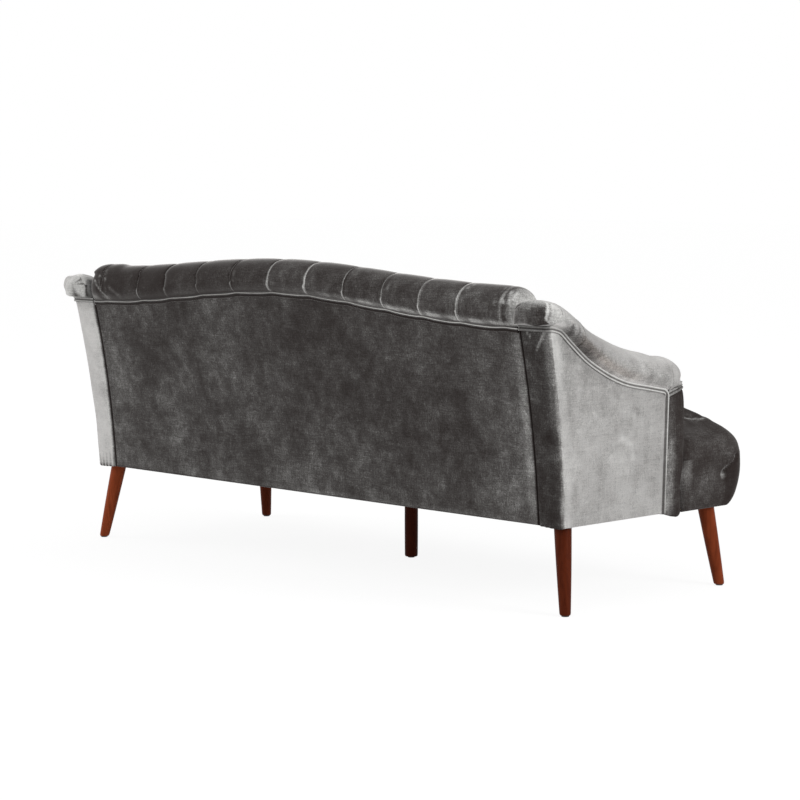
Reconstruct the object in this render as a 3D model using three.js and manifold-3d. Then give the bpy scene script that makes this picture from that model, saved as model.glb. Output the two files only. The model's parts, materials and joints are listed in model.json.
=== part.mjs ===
// A velvet settee with a camel back, rolled and pleated over the top, and low S-curved arms.
// Millimetres, +X along the length, +Y towards the back, +Z up, floor at zero.
import * as THREE from 'three';
import { mergeVertices } from 'three/addons/utils/BufferGeometryUtils.js';
import Module from 'manifold-3d';

const wasm = await Module();
wasm.setup();

// Clearances shared by all the pieces
const seatGap = 0.3;
const cutOverrun = 60;
const weldDistance = 1e-4;

// Legs: turned, tapered and splayed, with a plain straight one under the middle.
// A leg's top is set in from the inner corner of the seat frame and its foot out from its top.
const legTopHeight = 206;
const legTopRadius = 20;
const legFootRadius = 13.4;
const legChamfer = 2.2;
const legSides = 24;
const rearLegInsetX = 3.4;
const rearLegInsetY = 5.9;
const rearLegSplayX = 35;
const rearLegSplayY = 29;
const frontLegInsetX = 9.4;
const frontLegInsetY = 33.7;
const frontLegSplayX = 25;
const frontLegSplayY = 29;
const centreLegForward = 47;
const centreLegRadius = 17.5;

// Leg fittings
const glideRadius = 10;
const glideHeight = 3;
const glideChamfer = 1.1;
const glideSides = 16;
const plateRadius = 26;
const plateThickness = 4;
const plateClearance = 1;
const plateSides = 24;
const boltRadius = 4;
const boltClearance = 0.35;
const boltInLeg = 38;
const boltInFrame = 32;
const boltSides = 12;

// Seat frame
const frameDepth = 650.5;
const railHeight = 90;
const frontRailThickness = 28;
const rearRailThickness = 28;
const sideRailThickness = 27;
const stretcherWidth = 60;
const stretcherHeight = 42;
const blockLeg = 110;
const blockHeight = 62;

// Springs, felt and dust cover
const springCount = 6;
const springEndInset = 168.4;
const springCrown = 33.4;
const springWireRadius = 2;
const springHalfWidth = 24;
const springBends = 12;
const springStepsPerBend = 4;
const springWireSides = 4;
const springBearing = 13;
const feltThickness = 6.7;
const dustCoverThickness = 1.7;
const dustCoverInset = 2;

// Outside skin: the lean and the hollow of the back, the flare of the sides
const coverThickness = 8;
const backFootY = 315.5;
const backLeanDepth = 27.8;
const backHollowDepth = 40.9;
const backSeamInset = 79;
const sideFootX = 879;
const sideFlare = 14;
const cornerRadius = 20;
const cornerSteps = 5;
const seamGap = 1.2;
const coverHem = 3;
const cornerSag = 6;

// Camel back: the end of its welt under the arm's, the rise to the middle, the roll over the welt
const backWeltDrop = 7;
const weltRise = 52;
const backRollHeight = 103;
const rollRise = 41;
const rollBehind = 18;
const rollWidestShare = 0.4;
const rollArcSteps = 7;
const backRailDepth = 72;
const backFrameThickness = 28;
const backPostWidth = 45;
const linerRailRise = 120;
const linerRailHeight = 60;
const linerRailThickness = 14;
const lapClearance = 0.4;
const webbingCount = 2;
const webbingDrop = 14;
const webbingPitch = 90;
const webbingWidth = 50;
const webbingThickness = 2;
const backStationCount = 24;
const backRowCount = 6;

// Inside back: a padded slope with blind diamond tufts, pleated over the roll
const pleatCount = 12;
const pleatEndInset = 49;
const pleatDepth = 7;
const pleatHalfWidth = 13;
const backTuftDepth = 20;
const backFoldShare = 0.3;
const backPadAtSeat = 99.7;
const backPadAtTop = 62;
const backRowShares = [1, 0.84, 0.67, 0.5, 0.33, 0.16, 0];
const backTuftRowShares = [0.84, 0.5, 0.16];
const backPadEndClear = 3;
const backRollEndLength = 30;
const backRollEndDrop = 26;
const backRollEndShares = [0, 0.12, 0.45];

// Arm outline: the welt on the outside and the ridge of the roll, each from its low front end
// to its high rear end. The front ends are placed from the side's front edge, the rear ends
// from the face of the back where the arm's welt meets it.
const armAboveSeat = 41;
const armWeltRise = 170;
const armWeltLead = 3;
const armWeltEndInset = 10;
const armWeltShares = [
  [0, 0], [0.18, 0.11], [0.36, 0.2], [0.56, 0.38], [0.66, 0.51], [0.75, 0.675], [0.86, 0.89], [0.94, 0.98], [1, 1],
];
const armRollFrontHeight = 77;
const armRollRearHeight = 75;
const armRidgeSetback = 10;
const armRidgeBehind = 16;
const armRidgeShares = [
  [0, 0], [0.1, 0.07], [0.25, 0.135], [0.4, 0.24], [0.55, 0.41], [0.7, 0.61], [0.85, 0.86], [0.93, 0.97], [1, 1],
];
const armStationCount = 20;
const armRailDepth = 62;
const armRailEndInset = 41;
const armPostSetback = 45;
const armPostWidth = 45;

// Arm upholstery
const armSetback = 185;
const armWidth = 107;
const armInsideShift = 27;
const armShiftStartInset = 151;
const armShiftEndInset = 56;
const armOverhangFront = 19;
const armOverhangRear = 34;
const armRollSetback = 22;
const armRollBehind = 27;
const armFrontEndLength = 62;
const armFrontEndDrop = 52;
const armFrontEndDraw = 22;
const armRearEndLength = 32;
const armRearEndDrop = 24;
const armRearEndDraw = 30;
const armInsideCrown = 4;
const armEndStations = 5;
const armRollShares = [
  [-0.98, 0.42], [-0.8, 0.76], [-0.45, 0.95], [0, 1], [0.42, 0.95], [0.78, 0.75], [0.97, 0.5], [1, 0.3],
];
const armUnderWidthShare = 0.75;
const armUnderHeightShare = 0.05;
const frontPadDepth = 100;
const frontPadCornerRadius = 40;
const frontPadBulge = 4;
const frontPadFootDrop = 7;
const frontPadFootInset = 10;
const frontPadRiseShare = 0.32;
const frontPadHeightShares = [0.04, 0.15, 0.4, 0.7, 0.9];
const frontPadArcSteps = 5;

// Seat: one tight T-shaped pad whose ears run round the front of the arms
const seatPadThickness = 117;
const seatOverhang = 69;
const seatEarOverhang = 2;
const seatEarClear = 1.5;
const seatCornerRadius = 80;
const seatCrown = 8;
const seatFootDrop = 6;
const seatEdgeWidth = 137;
const seatEdgeFall = 128;
const seatEdgeShares = [[0, 1], [0.045, 0.82], [0.13, 0.68], [0.3, 0.53], [0.51, 0.4], [0.72, 0.23], [1, 0]];
const seatFootInset = 46;
const seatFootSideInset = 7;
const seatFootShares = [[0.04, 0.35], [0.2, 0.62], [0.45, 0.83], [0.75, 0.95], [1, 1]];
const seatFrameChamfer = 50;
const seatInnerRows = 9;
const seatEndCellShare = 0.25;
const seatTuftDepth = 17;
const seatFoldShare = 0.3;
const earTuftSetback = 50;
const earTuftRise = 68;
const earTuftDepth = 12;
const earTuftReach = 60;

// Welts
const weltRadius = 4;
const weltSides = 6;
const weltSink = 1.5;
const weltTurnSteps = 3;
const weltSeat = 2 * weltRadius + 2 * seatGap;

// Levels from the floor up: frame, springs and felt, seat, arms, back
const frameBottom = legTopHeight + plateThickness;
const railTop = frameBottom + railHeight;
const springLow = railTop + seatGap + springWireRadius;
const feltBottom = springLow + springCrown + springWireRadius + seatGap;
const seatUnderHeight = feltBottom + feltThickness + seatGap;
const seatTopHeight = seatUnderHeight + seatPadThickness;
const seatLine = seatTopHeight + seatCrown;
const armWeltLow = seatLine + armAboveSeat;
const armWeltTop = armWeltLow + armWeltRise;
const armRidgeLow = armWeltLow + armRollFrontHeight;
const armRidgeTop = armWeltTop + armRollRearHeight;
const weltEndHeight = armWeltTop - backWeltDrop;
const rollEndHeight = weltEndHeight + backRollHeight;
const skinHeight = weltEndHeight - frameBottom;
const frontPadFootHeight = frameBottom - frontPadFootDrop;
const seatFootHeight = frameBottom - seatFootDrop;
const linerRailBottom = railTop + linerRailRise;
const webbingTop = weltEndHeight - webbingDrop;

// Planes along the length, from the outside of the side inwards
const sideRailOuterX = sideFootX - coverThickness - seatGap;
const sideRailInnerX = sideRailOuterX - sideRailThickness;
const innerX = sideRailInnerX - seatGap;
const armInsideX = sideFootX - armWidth;
const armInsideRearX = armInsideX + armInsideShift;
const seatEarX = sideFootX + seatEarOverhang;
const backSeamX = sideFootX - backSeamInset;
const backPadEndX = backSeamX - backPadEndClear;
const backPostOuterX = innerX;
const backPostInnerX = backPostOuterX - backPostWidth;
const pleatPitch = 2 * (backPadEndX - pleatEndInset) / (pleatCount - 1);

// Planes from front to back
const frontRailFaceY = backFootY - frameDepth;
const frontRailInnerY = frontRailFaceY + frontRailThickness;
const rearRailOuterY = backFootY - coverThickness - seatGap;
const rearRailInnerY = rearRailOuterY - rearRailThickness;
const rearFrameChamfer = cornerRadius - coverThickness;
const seatFrontY = frontRailFaceY - seatOverhang;
const frontPadFaceY = frontRailFaceY + armSetback;
const seatEarRearY = frontPadFaceY - seatEarClear;
const sideEdgeY = frontPadFaceY + frontPadDepth;
const weltEdgeY = sideEdgeY - seatGap - weltRadius;
const frontPadRearY = weltEdgeY - weltRadius - seatGap;
const armPostStartY = frontPadFaceY + armPostSetback;
const armRollFrontY = frontPadFaceY + armRollSetback;
const armWeltStartY = sideEdgeY - armWeltLead;
const armRidgeStartY = sideEdgeY + armRidgeSetback;
const armMeetY = backFaceY(armWeltTop);
const armWeltEndY = armMeetY - armWeltEndInset;
const armRailEndY = armMeetY - armRailEndInset;
const armRidgeEndY = armMeetY + armRidgeBehind;
const armRollRearY = armMeetY + armRollBehind;
const armShiftStartY = armMeetY - armShiftStartInset;
const armShiftEndY = armMeetY - armShiftEndInset;

// Layers of the back, as depths behind its outer face
const backFrameRear = coverThickness + seatGap;
const backFrameFront = backFrameRear + backFrameThickness;
const backWebbingFront = backFrameFront + seatGap + webbingThickness;
const backPadRear = backWebbingFront + seatGap;
const seatRearY = backFaceY(seatLine) - backPadRear - backPadAtSeat - seatGap;

function clamp01(value) {
  return Math.min(1, Math.max(0, value));
}

function mix(from, to, share) {
  return from + (to - from) * share;
}

const smooth = (share) => clamp01(share) ** 2 * (3 - 2 * clamp01(share));
const quarterRound = (share) => Math.sqrt(1 - (1 - clamp01(share)) ** 2);
const count = (number) => Array.from({ length: number }, (_, index) => index);

// Outer face of the back at a height, with its lean and its hollow
function backFaceY(z) {
  const share = (z - frameBottom) / skinHeight;
  return backFootY + backLeanDepth * share + backHollowDepth * share * share;
}

// Outer face of a side at a height
function sideFaceX(z) {
  return sideFootX + sideFlare * (z - frameBottom) / skinHeight;
}

// Camel curve, one at the middle of the back and zero at its ends
function camelShare(x) {
  return (1 + Math.cos(Math.PI * clamp01(Math.abs(x) / backSeamX))) / 2;
}

const backWeltZ = (x) => weltEndHeight + weltRise * camelShare(x);
const backRollZ = (x) => rollEndHeight + rollRise * camelShare(x);

// Height between the points of a share table, with rounded knots
function alongShares(shares, share) {
  const place = clamp01(share);
  const last = shares.length - 1;
  let index = 0;
  while (index < last - 1 && shares[index + 1][0] < place) index += 1;
  const slopeAt = (knot) => {
    const before = shares[Math.max(0, knot - 1)];
    const after = shares[Math.min(last, knot + 1)];
    return (after[1] - before[1]) / (after[0] - before[0]);
  };
  const [startPlace, startValue] = shares[index];
  const [endPlace, endValue] = shares[index + 1];
  const span = endPlace - startPlace;
  const t = (place - startPlace) / span;
  return startValue * (1 - t) ** 2 * (1 + 2 * t) + slopeAt(index) * span * t * (1 - t) ** 2
    + endValue * t * t * (3 - 2 * t) - slopeAt(index + 1) * span * t * t * (1 - t);
}

// Outside welt of an arm at a depth; forward of its corner it keeps the slope of its first stretch
function armWeltZ(y) {
  const share = (y - armWeltStartY) / (armWeltEndY - armWeltStartY);
  const [, first] = armWeltShares;
  const slopeForward = Math.min(0, share) * first[1] / first[0];
  return armWeltLow + armWeltRise * (alongShares(armWeltShares, share) + slopeForward);
}

function armRidgeZ(y) {
  const share = (y - armRidgeStartY) / (armRidgeEndY - armRidgeStartY);
  return mix(armRidgeLow, armRidgeTop, alongShares(armRidgeShares, share));
}

// Places along the back and along an arm that all the pieces there share
const backStations = count(backStationCount + 1).map((index) => mix(-1, 1, index / backStationCount));
const armYs = count(armStationCount + 1).map((index) => mix(armWeltStartY, armWeltEndY, index / armStationCount));

// The welt line as it runs straight from one shared place to the next
function armLineZ(y) {
  const step = (armWeltEndY - armWeltStartY) / armStationCount;
  const place = Math.min(armStationCount, (y - armWeltStartY) / step);
  const before = armWeltStartY + Math.floor(place) * step;
  return mix(armWeltZ(before), armWeltZ(before + step), place - Math.floor(place));
}

// The same line moved square to itself
function armLineOffset(y, distance) {
  const step = (armWeltEndY - armWeltStartY) / armStationCount;
  const slope = (armLineZ(y + step / 2) - armLineZ(y - step / 2)) / step;
  return armLineZ(y) + distance * Math.hypot(1, slope);
}

// Shared places between two depths, with both ends
function armPlaces(from, to) {
  return [from, ...armYs.filter((y) => y > from + seatGap && y < to - seatGap), to];
}

function geometryOf(points, triangles) {
  const geometry = new THREE.BufferGeometry();
  geometry.setAttribute('position', new THREE.Float32BufferAttribute(points.flat(), 3));
  geometry.setIndex(triangles.flat());
  return geometry;
}

// Turns the triangles over if they face inwards
function facingOut(points, triangles) {
  let volume = 0;
  for (const [a, b, c] of triangles) {
    const [p, q, r] = [points[a], points[b], points[c]];
    volume += p[0] * (q[1] * r[2] - q[2] * r[1]) - p[1] * (q[0] * r[2] - q[2] * r[0])
      + p[2] * (q[0] * r[1] - q[1] * r[0]);
  }
  return geometryOf(points, volume > 0 ? triangles : triangles.map(([a, b, c]) => [a, c, b]));
}

// A closed skin through loops of equal length, capped by a fan at each end
function loft(loops) {
  const size = loops[0].length;
  const points = loops.flat();
  const triangles = [];
  for (const row of count(loops.length - 1)) {
    for (const column of count(size)) {
      const next = (column + 1) % size;
      const [a, b] = [row * size + column, row * size + next];
      triangles.push([a, b, b + size], [a, b + size, a + size]);
    }
  }
  for (const end of [0, loops.length - 1]) {
    const middle = loops[end].reduce((sum, point) => sum.add(new THREE.Vector3(...point)), new THREE.Vector3());
    const hub = points.length;
    points.push(middle.divideScalar(size).toArray());
    for (const column of count(size)) {
      const [a, b] = [end * size + column, end * size + (column + 1) % size];
      triangles.push(end === 0 ? [hub, b, a] : [hub, a, b]);
    }
  }
  return facingOut(points, triangles);
}

// A closed slab between two grids of points with the same rows and columns
function slab(outer, inner) {
  const rows = outer.length;
  const columns = outer[0].length;
  const points = [...outer.flat(), ...inner.flat()];
  const offset = rows * columns;
  const triangles = [];
  for (const row of count(rows - 1)) {
    for (const column of count(columns - 1)) {
      const a = row * columns + column;
      const [b, c, d] = [a + 1, a + columns + 1, a + columns];
      triangles.push([a, b, c], [a, c, d]);
      triangles.push([offset + a, offset + c, offset + b], [offset + a, offset + d, offset + c]);
    }
  }
  const rim = [];
  for (const column of count(columns - 1)) rim.push(column);
  for (const row of count(rows - 1)) rim.push(row * columns + columns - 1);
  for (const column of count(columns - 1)) rim.push(rows * columns - 1 - column);
  for (const row of count(rows - 1)) rim.push((rows - 1 - row) * columns);
  rim.forEach((a, index) => {
    const b = rim[(index + 1) % rim.length];
    triangles.push([a, offset + b, b], [a, offset + a, offset + b]);
  });
  return facingOut(points, triangles);
}

// A round or square wire along points, its section upright
function wire(path, radius, sides) {
  const up = new THREE.Vector3(0, 0, 1);
  const loops = path.map((point, index) => {
    const before = path[Math.max(0, index - 1)];
    const after = path[Math.min(path.length - 1, index + 1)];
    const along = new THREE.Vector3().subVectors(after, before).normalize();
    const across = new THREE.Vector3().crossVectors(along, Math.abs(along.z) > 0.9 ? new THREE.Vector3(1, 0, 0) : up);
    across.normalize();
    const lift = new THREE.Vector3().crossVectors(across, along);
    return count(sides).map((side) => {
      const angle = 2 * Math.PI * side / sides;
      return point.clone().addScaledVector(across, radius * Math.cos(angle))
        .addScaledVector(lift, radius * Math.sin(angle)).toArray();
    });
  });
  return loft(loops);
}

// A welt keeps one frame round its bends: its section stays square to the side it lies on
function welt(path, outward) {
  const loops = path.map((point, index) => {
    const before = path[Math.max(0, index - 1)];
    const after = path[Math.min(path.length - 1, index + 1)];
    const along = new THREE.Vector3().subVectors(after, before).normalize();
    const face = outward[index].clone().addScaledVector(along, -along.dot(outward[index])).normalize();
    const across = new THREE.Vector3().crossVectors(along, face);
    return count(weltSides).map((side) => {
      const angle = 2 * Math.PI * side / weltSides;
      return point.clone().addScaledVector(face, weltRadius * Math.cos(angle))
        .addScaledVector(across, weltRadius * Math.sin(angle)).toArray();
    });
  });
  return loft(loops);
}

function box(x0, x1, y0, y1, z0, z1) {
  const geometry = new THREE.BoxGeometry(x1 - x0, y1 - y0, z1 - z0);
  geometry.translate((x0 + x1) / 2, (y0 + y1) / 2, (z0 + z1) / 2);
  return geometry;
}

function solidOf(geometry) {
  const bare = new THREE.BufferGeometry();
  bare.setAttribute('position', geometry.getAttribute('position'));
  bare.setIndex(geometry.getIndex());
  const merged = mergeVertices(bare, weldDistance);
  return new wasm.Manifold(new wasm.Mesh({
    numProp: 3,
    vertProperties: new Float32Array(merged.getAttribute('position').array),
    triVerts: new Uint32Array(merged.getIndex().array),
  }));
}

function geometryFrom(solid) {
  const mesh = solid.getMesh();
  const geometry = new THREE.BufferGeometry();
  geometry.setAttribute('position', new THREE.BufferAttribute(mesh.vertProperties, 3));
  geometry.setIndex(new THREE.BufferAttribute(mesh.triVerts, 1));
  return geometry;
}

function cut(geometry, ...tools) {
  return geometryFrom(tools.reduce((solid, tool) => solid.subtract(solidOf(tool)), solidOf(geometry)));
}

function join(geometry, ...others) {
  return geometryFrom(others.reduce((solid, other) => solid.add(solidOf(other)), solidOf(geometry)));
}

function mirrored(geometry) {
  const copy = geometry.clone().scale(-1, 1, 1);
  copy.getIndex().array.reverse();
  return copy;
}

const materials = {
  velvet: new THREE.MeshStandardMaterial({ color: 0x67625f, roughness: 0.85, metalness: 0 }),
  velvetLight: new THREE.MeshStandardMaterial({ color: 0xa3a19d, roughness: 0.85, metalness: 0 }),
  piping: new THREE.MeshStandardMaterial({ color: 0x8c8885, roughness: 0.8, metalness: 0 }),
  legWood: new THREE.MeshStandardMaterial({ color: 0x5c2412, roughness: 0.38, metalness: 0 }),
  frameWood: new THREE.MeshStandardMaterial({ color: 0xc8a673, roughness: 0.8, metalness: 0 }),
  steel: new THREE.MeshStandardMaterial({ color: 0xa9adb0, roughness: 0.4, metalness: 0.9 }),
  felt: new THREE.MeshStandardMaterial({ color: 0x8f8c86, roughness: 0.95, metalness: 0 }),
  webbing: new THREE.MeshStandardMaterial({ color: 0x9b7d4f, roughness: 0.9, metalness: 0 }),
  cambric: new THREE.MeshStandardMaterial({ color: 0x1d1c1c, roughness: 0.95, metalness: 0 }),
  nylon: new THREE.MeshStandardMaterial({ color: 0x2a2724, roughness: 0.5, metalness: 0 }),
};

const settee = new THREE.Group();

function add(name, geometry, material) {
  const mesh = new THREE.Mesh(geometry, material.clone());
  mesh.name = name;
  settee.add(mesh);
  return mesh;
}

function addPair(name, rightGeometry, material) {
  add(`${name}_right`, rightGeometry, material);
  add(`${name}_left`, mirrored(rightGeometry), material);
}

// Round bar between two levels whose middle and radius move evenly from one to the other
function leaningBar(levels, sides) {
  return loft(levels.map(({ x, y, z, radius }) => count(sides).map((side) => {
    const angle = 2 * Math.PI * side / sides;
    return [x + radius * Math.cos(angle), y + radius * Math.sin(angle), z];
  })));
}

// Legs with their glides, bolts and plates. A leg leans from its foot to its top.
function leaningLegs(name, x, y, splayX, splayY) {
  return [1, -1].map((side) => ({
    name: `${name}_${side > 0 ? 'right' : 'left'}`, top: [side * x, y], foot: [side * (x + splayX), y + splayY],
  }));
}

const rearLegs = leaningLegs('rear', innerX - rearLegInsetX, rearRailInnerY - seatGap - rearLegInsetY,
  rearLegSplayX, rearLegSplayY);
const frontLegs = leaningLegs('front', innerX - frontLegInsetX, frontRailInnerY + seatGap + frontLegInsetY,
  frontLegSplayX, -frontLegSplayY);
const centreLegY = (frontRailFaceY + rearRailOuterY) / 2 - centreLegForward;
const centreLeg = { name: 'centre', foot: [0, centreLegY], top: [0, centreLegY], straight: true };
const legs = [...rearLegs, ...frontLegs, centreLeg];

function legPoint(leg, z, radius) {
  const share = z / legTopHeight;
  return { x: mix(leg.foot[0], leg.top[0], share), y: mix(leg.foot[1], leg.top[1], share), z, radius };
}

function boltBar(leg, extra) {
  const radius = boltRadius + extra;
  const low = legTopHeight - boltInLeg - extra;
  return leaningBar([legPoint(leg, low, radius), legPoint(leg, frameBottom + boltInFrame + extra, radius)], boltSides);
}

function legGeometry(leg) {
  const footRadius = leg.straight ? centreLegRadius : legFootRadius;
  const topRadius = leg.straight ? centreLegRadius : legTopRadius;
  const bar = leaningBar([
    legPoint(leg, glideHeight, footRadius - legChamfer),
    legPoint(leg, glideHeight + legChamfer, footRadius),
    legPoint(leg, legTopHeight, topRadius),
  ], legSides);
  return cut(bar, boltBar(leg, boltClearance));
}

function plateGeometry(leg) {
  const [x, y] = leg.top;
  const disc = (z) => ({ x, y, z, radius: plateRadius });
  const plate = leaningBar([disc(legTopHeight), disc(frameBottom)], plateSides);
  return cut(plate, boltBar(leg, boltClearance));
}

function glideGeometry({ foot: [x, y] }) {
  return leaningBar([
    { x, y, z: 0, radius: glideRadius - glideChamfer },
    { x, y, z: glideHeight, radius: glideRadius },
  ], glideSides);
}

for (const leg of legs) {
  add(`leg_${leg.name}`, legGeometry(leg), materials.legWood);
  add(`foot_glide_${leg.name}`, glideGeometry(leg), materials.nylon);
  add(`hanger_bolt_${leg.name}`, boltBar(leg, 0), materials.steel);
  add(`leg_plate_${leg.name}`, plateGeometry(leg), materials.steel);
}

// Seat frame: four rails, a stretcher over the middle leg and a glued block in each corner

// Flat outline raised between two levels
function raised(outline, z0, z1) {
  return loft([z0, z1].map((z) => outline.map(([x, y]) => [x, y, z])));
}

// Plan of the seat frame, its corners cut off inside the rounded ones of the cover
function framePlan(grow) {
  const side = sideRailOuterX + grow;
  const front = frontRailFaceY - grow;
  const rear = rearRailOuterY + grow;
  return [
    [side, rear - rearFrameChamfer], [side - rearFrameChamfer, rear], [-side + rearFrameChamfer, rear],
    [-side, rear - rearFrameChamfer], [-side, front + seatFrameChamfer],
    [-side + seatFrameChamfer, front], [side - seatFrameChamfer, front], [side, front + seatFrameChamfer],
  ];
}

function within(geometry, outline) {
  const limit = raised(outline, frameBottom - cutOverrun, railTop + cutOverrun);
  return geometryFrom(solidOf(geometry).intersect(solidOf(limit)));
}

add('seat_rail_front',
  within(box(-innerX, innerX, frontRailFaceY, frontRailInnerY, frameBottom, railTop), framePlan(0)),
  materials.frameWood);
add('seat_rail_rear',
  box(-innerX, innerX, rearRailInnerY, rearRailOuterY, frameBottom, railTop), materials.frameWood);
addPair('seat_rail_side', within(
  box(sideRailInnerX, sideRailOuterX, frontRailFaceY, rearRailOuterY, frameBottom, railTop), framePlan(0),
), materials.frameWood);
add('seat_stretcher', cut(
  box(-stretcherWidth / 2, stretcherWidth / 2, frontRailInnerY + seatGap, rearRailInnerY - seatGap,
    frameBottom, frameBottom + stretcherHeight),
  boltBar(centreLeg, boltClearance),
), materials.frameWood);

// Three-cornered block that fills a corner of the seat frame
function cornerBlock(leg, cornerY, inward) {
  const outline = [[innerX, cornerY], [innerX - blockLeg, cornerY], [innerX, cornerY + blockLeg * inward]];
  const block = within(raised(outline, frameBottom, frameBottom + blockHeight), framePlan(0));
  return cut(block, boltBar(leg, boltClearance));
}

addPair('corner_block_rear', cornerBlock(rearLegs[0], rearRailInnerY - seatGap, -1), materials.frameWood);
addPair('corner_block_front', cornerBlock(frontLegs[0], frontRailInnerY + seatGap, 1), materials.frameWood);

// A slab that follows the curve of the back between two depths behind its face
function backSlab(xs, bottomAt, topAt, rear, front, rows) {
  const face = (depth) => count(rows + 1).map((row) => xs.map((x) => {
    const z = mix(bottomAt(x), topAt(x), row / rows);
    return [x, backFaceY(z) - depth, z];
  }));
  return slab(face(rear), face(front));
}

// Back frame: posts, camel top rail, and a thin liner rail let into the middle post
const level = (z) => () => z;
const postTop = weltEndHeight + weltSeat - seatGap;
const railEndX = backPostInnerX - seatGap;
const topRailXs = backStations.map((share) => share * railEndX);
const linerFront = backFrameFront - linerRailThickness;

function linerRail(grow) {
  return backSlab([-railEndX, -backPostWidth, backPostWidth, railEndX], level(linerRailBottom - grow),
    level(linerRailBottom + linerRailHeight + grow), linerFront - grow, backFrameFront + grow, 1);
}

addPair('back_post', backSlab([backPostInnerX, backPostOuterX], level(railTop + seatGap), level(postTop),
  backFrameRear, backFrameFront, backRowCount), materials.frameWood);
add('back_post_centre', cut(
  backSlab([-backPostWidth / 2, backPostWidth / 2], level(railTop + seatGap),
    (x) => backWeltZ(x) - backRailDepth - seatGap * 2, backFrameRear, backFrameFront, backRowCount),
  linerRail(lapClearance),
), materials.frameWood);
add('back_top_rail', backSlab(topRailXs, (x) => backWeltZ(x) - backRailDepth,
  (x) => backWeltZ(x) + weltSeat - seatGap, backFrameRear, backFrameFront, 2), materials.frameWood);
add('back_liner_rail', linerRail(0), materials.frameWood);
count(webbingCount).forEach((index) => {
  const top = webbingTop - index * webbingPitch;
  const strap = backSlab([-backPostOuterX, backPostOuterX], level(top - webbingWidth), level(top),
    backFrameFront + seatGap, backWebbingFront, 2);
  add(`back_webbing_${index + 1}`, strap, materials.webbing);
});

// A plate outlined by a lower and an upper line over depths, standing between two places along X
function sidewaysPlate(ys, lowAt, highAt, x0, x1) {
  const face = (x) => [lowAt, highAt].map((lineAt) => ys.map((y) => [x, y, lineAt(y)]));
  return slab(face(x0), face(x1));
}

// Arm frame: a sawn top rail that follows the S-curve and a short post under its front end
const armRailYs = armPlaces(armPostStartY, armRailEndY);
addPair('arm_rail', sidewaysPlate(armRailYs, (y) => armLineZ(y) - armRailDepth,
  (y) => armLineOffset(y, weltSeat - seatGap), sideRailInnerX, sideRailOuterX), materials.frameWood);
addPair('arm_post', sidewaysPlate(armPlaces(armPostStartY, armPostStartY + armPostWidth), level(railTop + seatGap),
  (y) => armLineZ(y) - armRailDepth - seatGap, sideRailInnerX, sideRailOuterX), materials.frameWood);

// Sinuous springs across the seat frame, arched from rail to rail up to the felt over them
function springPath(x) {
  const steps = springBends * springStepsPerBend;
  const front = frontRailFaceY + springBearing;
  const rear = rearRailOuterY - springBearing;
  return count(steps + 1).map((step) => new THREE.Vector3(
    x + springHalfWidth * Math.sin(Math.PI * step / springStepsPerBend),
    mix(front, rear, step / steps),
    springLow + springCrown * Math.sin(Math.PI * step / steps),
  ));
}

count(springCount).forEach((index) => {
  const x = mix(springEndInset - innerX, innerX - springEndInset, index / (springCount - 1));
  add(`seat_spring_${index + 1}`, wire(springPath(x), springWireRadius, springWireSides), materials.steel);
});
add('spring_insulator', raised(framePlan(-sideRailThickness), feltBottom, feltBottom + feltThickness), materials.felt);

// Dust cover under the frame, cut out round the leg plates
const dustTop = frameBottom - seatGap;
const plateHoles = legs.map(({ top: [x, y] }) => leaningBar([frameBottom - cutOverrun, frameBottom + cutOverrun]
  .map((z) => ({ x, y, z, radius: plateRadius + plateClearance })), plateSides));
add('dust_cover', cut(raised(framePlan(-dustCoverInset), dustTop - dustCoverThickness, dustTop), ...plateHoles),
  materials.cambric);

// Outer form of an arm from its inside face over the roll to the welt; grow widens it on every side
function armSection(y, grow) {
  const line = armLineZ(Math.max(y, armWeltStartY));
  const shift = smooth((y - armShiftStartY) / (armShiftEndY - armShiftStartY));
  const swell = smooth((y - armWeltStartY) / (armWeltEndY - armWeltStartY));
  const frontEnd = 1 - quarterRound((y - armRollFrontY) / armFrontEndLength);
  const rearEnd = 1 - quarterRound((armRollRearY - y) / armRearEndLength);
  const inner = mix(armInsideX, armInsideRearX, shift) + armFrontEndDraw * frontEnd - grow;
  const outer = sideFaceX(line) + mix(armOverhangFront, armOverhangRear, swell)
    - armFrontEndDraw * frontEnd - armRearEndDraw * rearEnd + grow;
  const top = armRidgeZ(y) - armFrontEndDrop * frontEnd - armRearEndDrop * rearEnd + grow;
  const low = seatUnderHeight - grow;
  const wide = (outer - inner) / 2;
  const tall = top - line;
  const middle = (inner + outer) / 2;
  const side = sideFaceX(line) - weltSink;
  const crown = armInsideCrown * (1 - shift);
  return [
    [inner, low], [inner, seatLine + grow], [inner - crown, mix(seatLine, line, 1 / 2) + grow],
    ...armRollShares.map(([across, up]) => [middle + wide * across, line + tall * up]),
    [mix(side, outer, armUnderWidthShare), line + weltSeat + tall * armUnderHeightShare],
    [side, line + weltSeat / 2], [side, low],
  ].map(([x, z]) => [x, y, z]);
}

function armForm(grow) {
  const ends = count(armEndStations).map((index) => 1 - Math.cos(Math.PI / 2 * index / armEndStations));
  const fronts = ends.map((share) => armRollFrontY + armFrontEndLength * share);
  const rears = ends.map((share) => armRollRearY - armRearEndLength * share).reverse();
  const first = armRollFrontY + armFrontEndLength;
  const last = armRollRearY - armRearEndLength;
  const inner = armYs.filter((y) => y > first + springWireRadius && y < last - springWireRadius);
  const ys = [...fronts, first, ...inner, last, ...rears];
  ys[0] -= grow;
  ys[ys.length - 1] += grow;
  return loft(ys.map((y, index) => {
    const held = Math.min(Math.max(y, armRollFrontY), armRollRearY);
    return armSection(held, grow).map(([x, , z]) => [x, ys[index], z]);
  }));
}

// Slanted top of the padded front of an arm, under the end of the roll
const frontPadTopZ = (y) => armLineZ(armWeltStartY) + frontPadRiseShare * (armWeltStartY - y);
const farX = sideFaceX(postTop) + armOverhangRear + cutOverrun;

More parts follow.
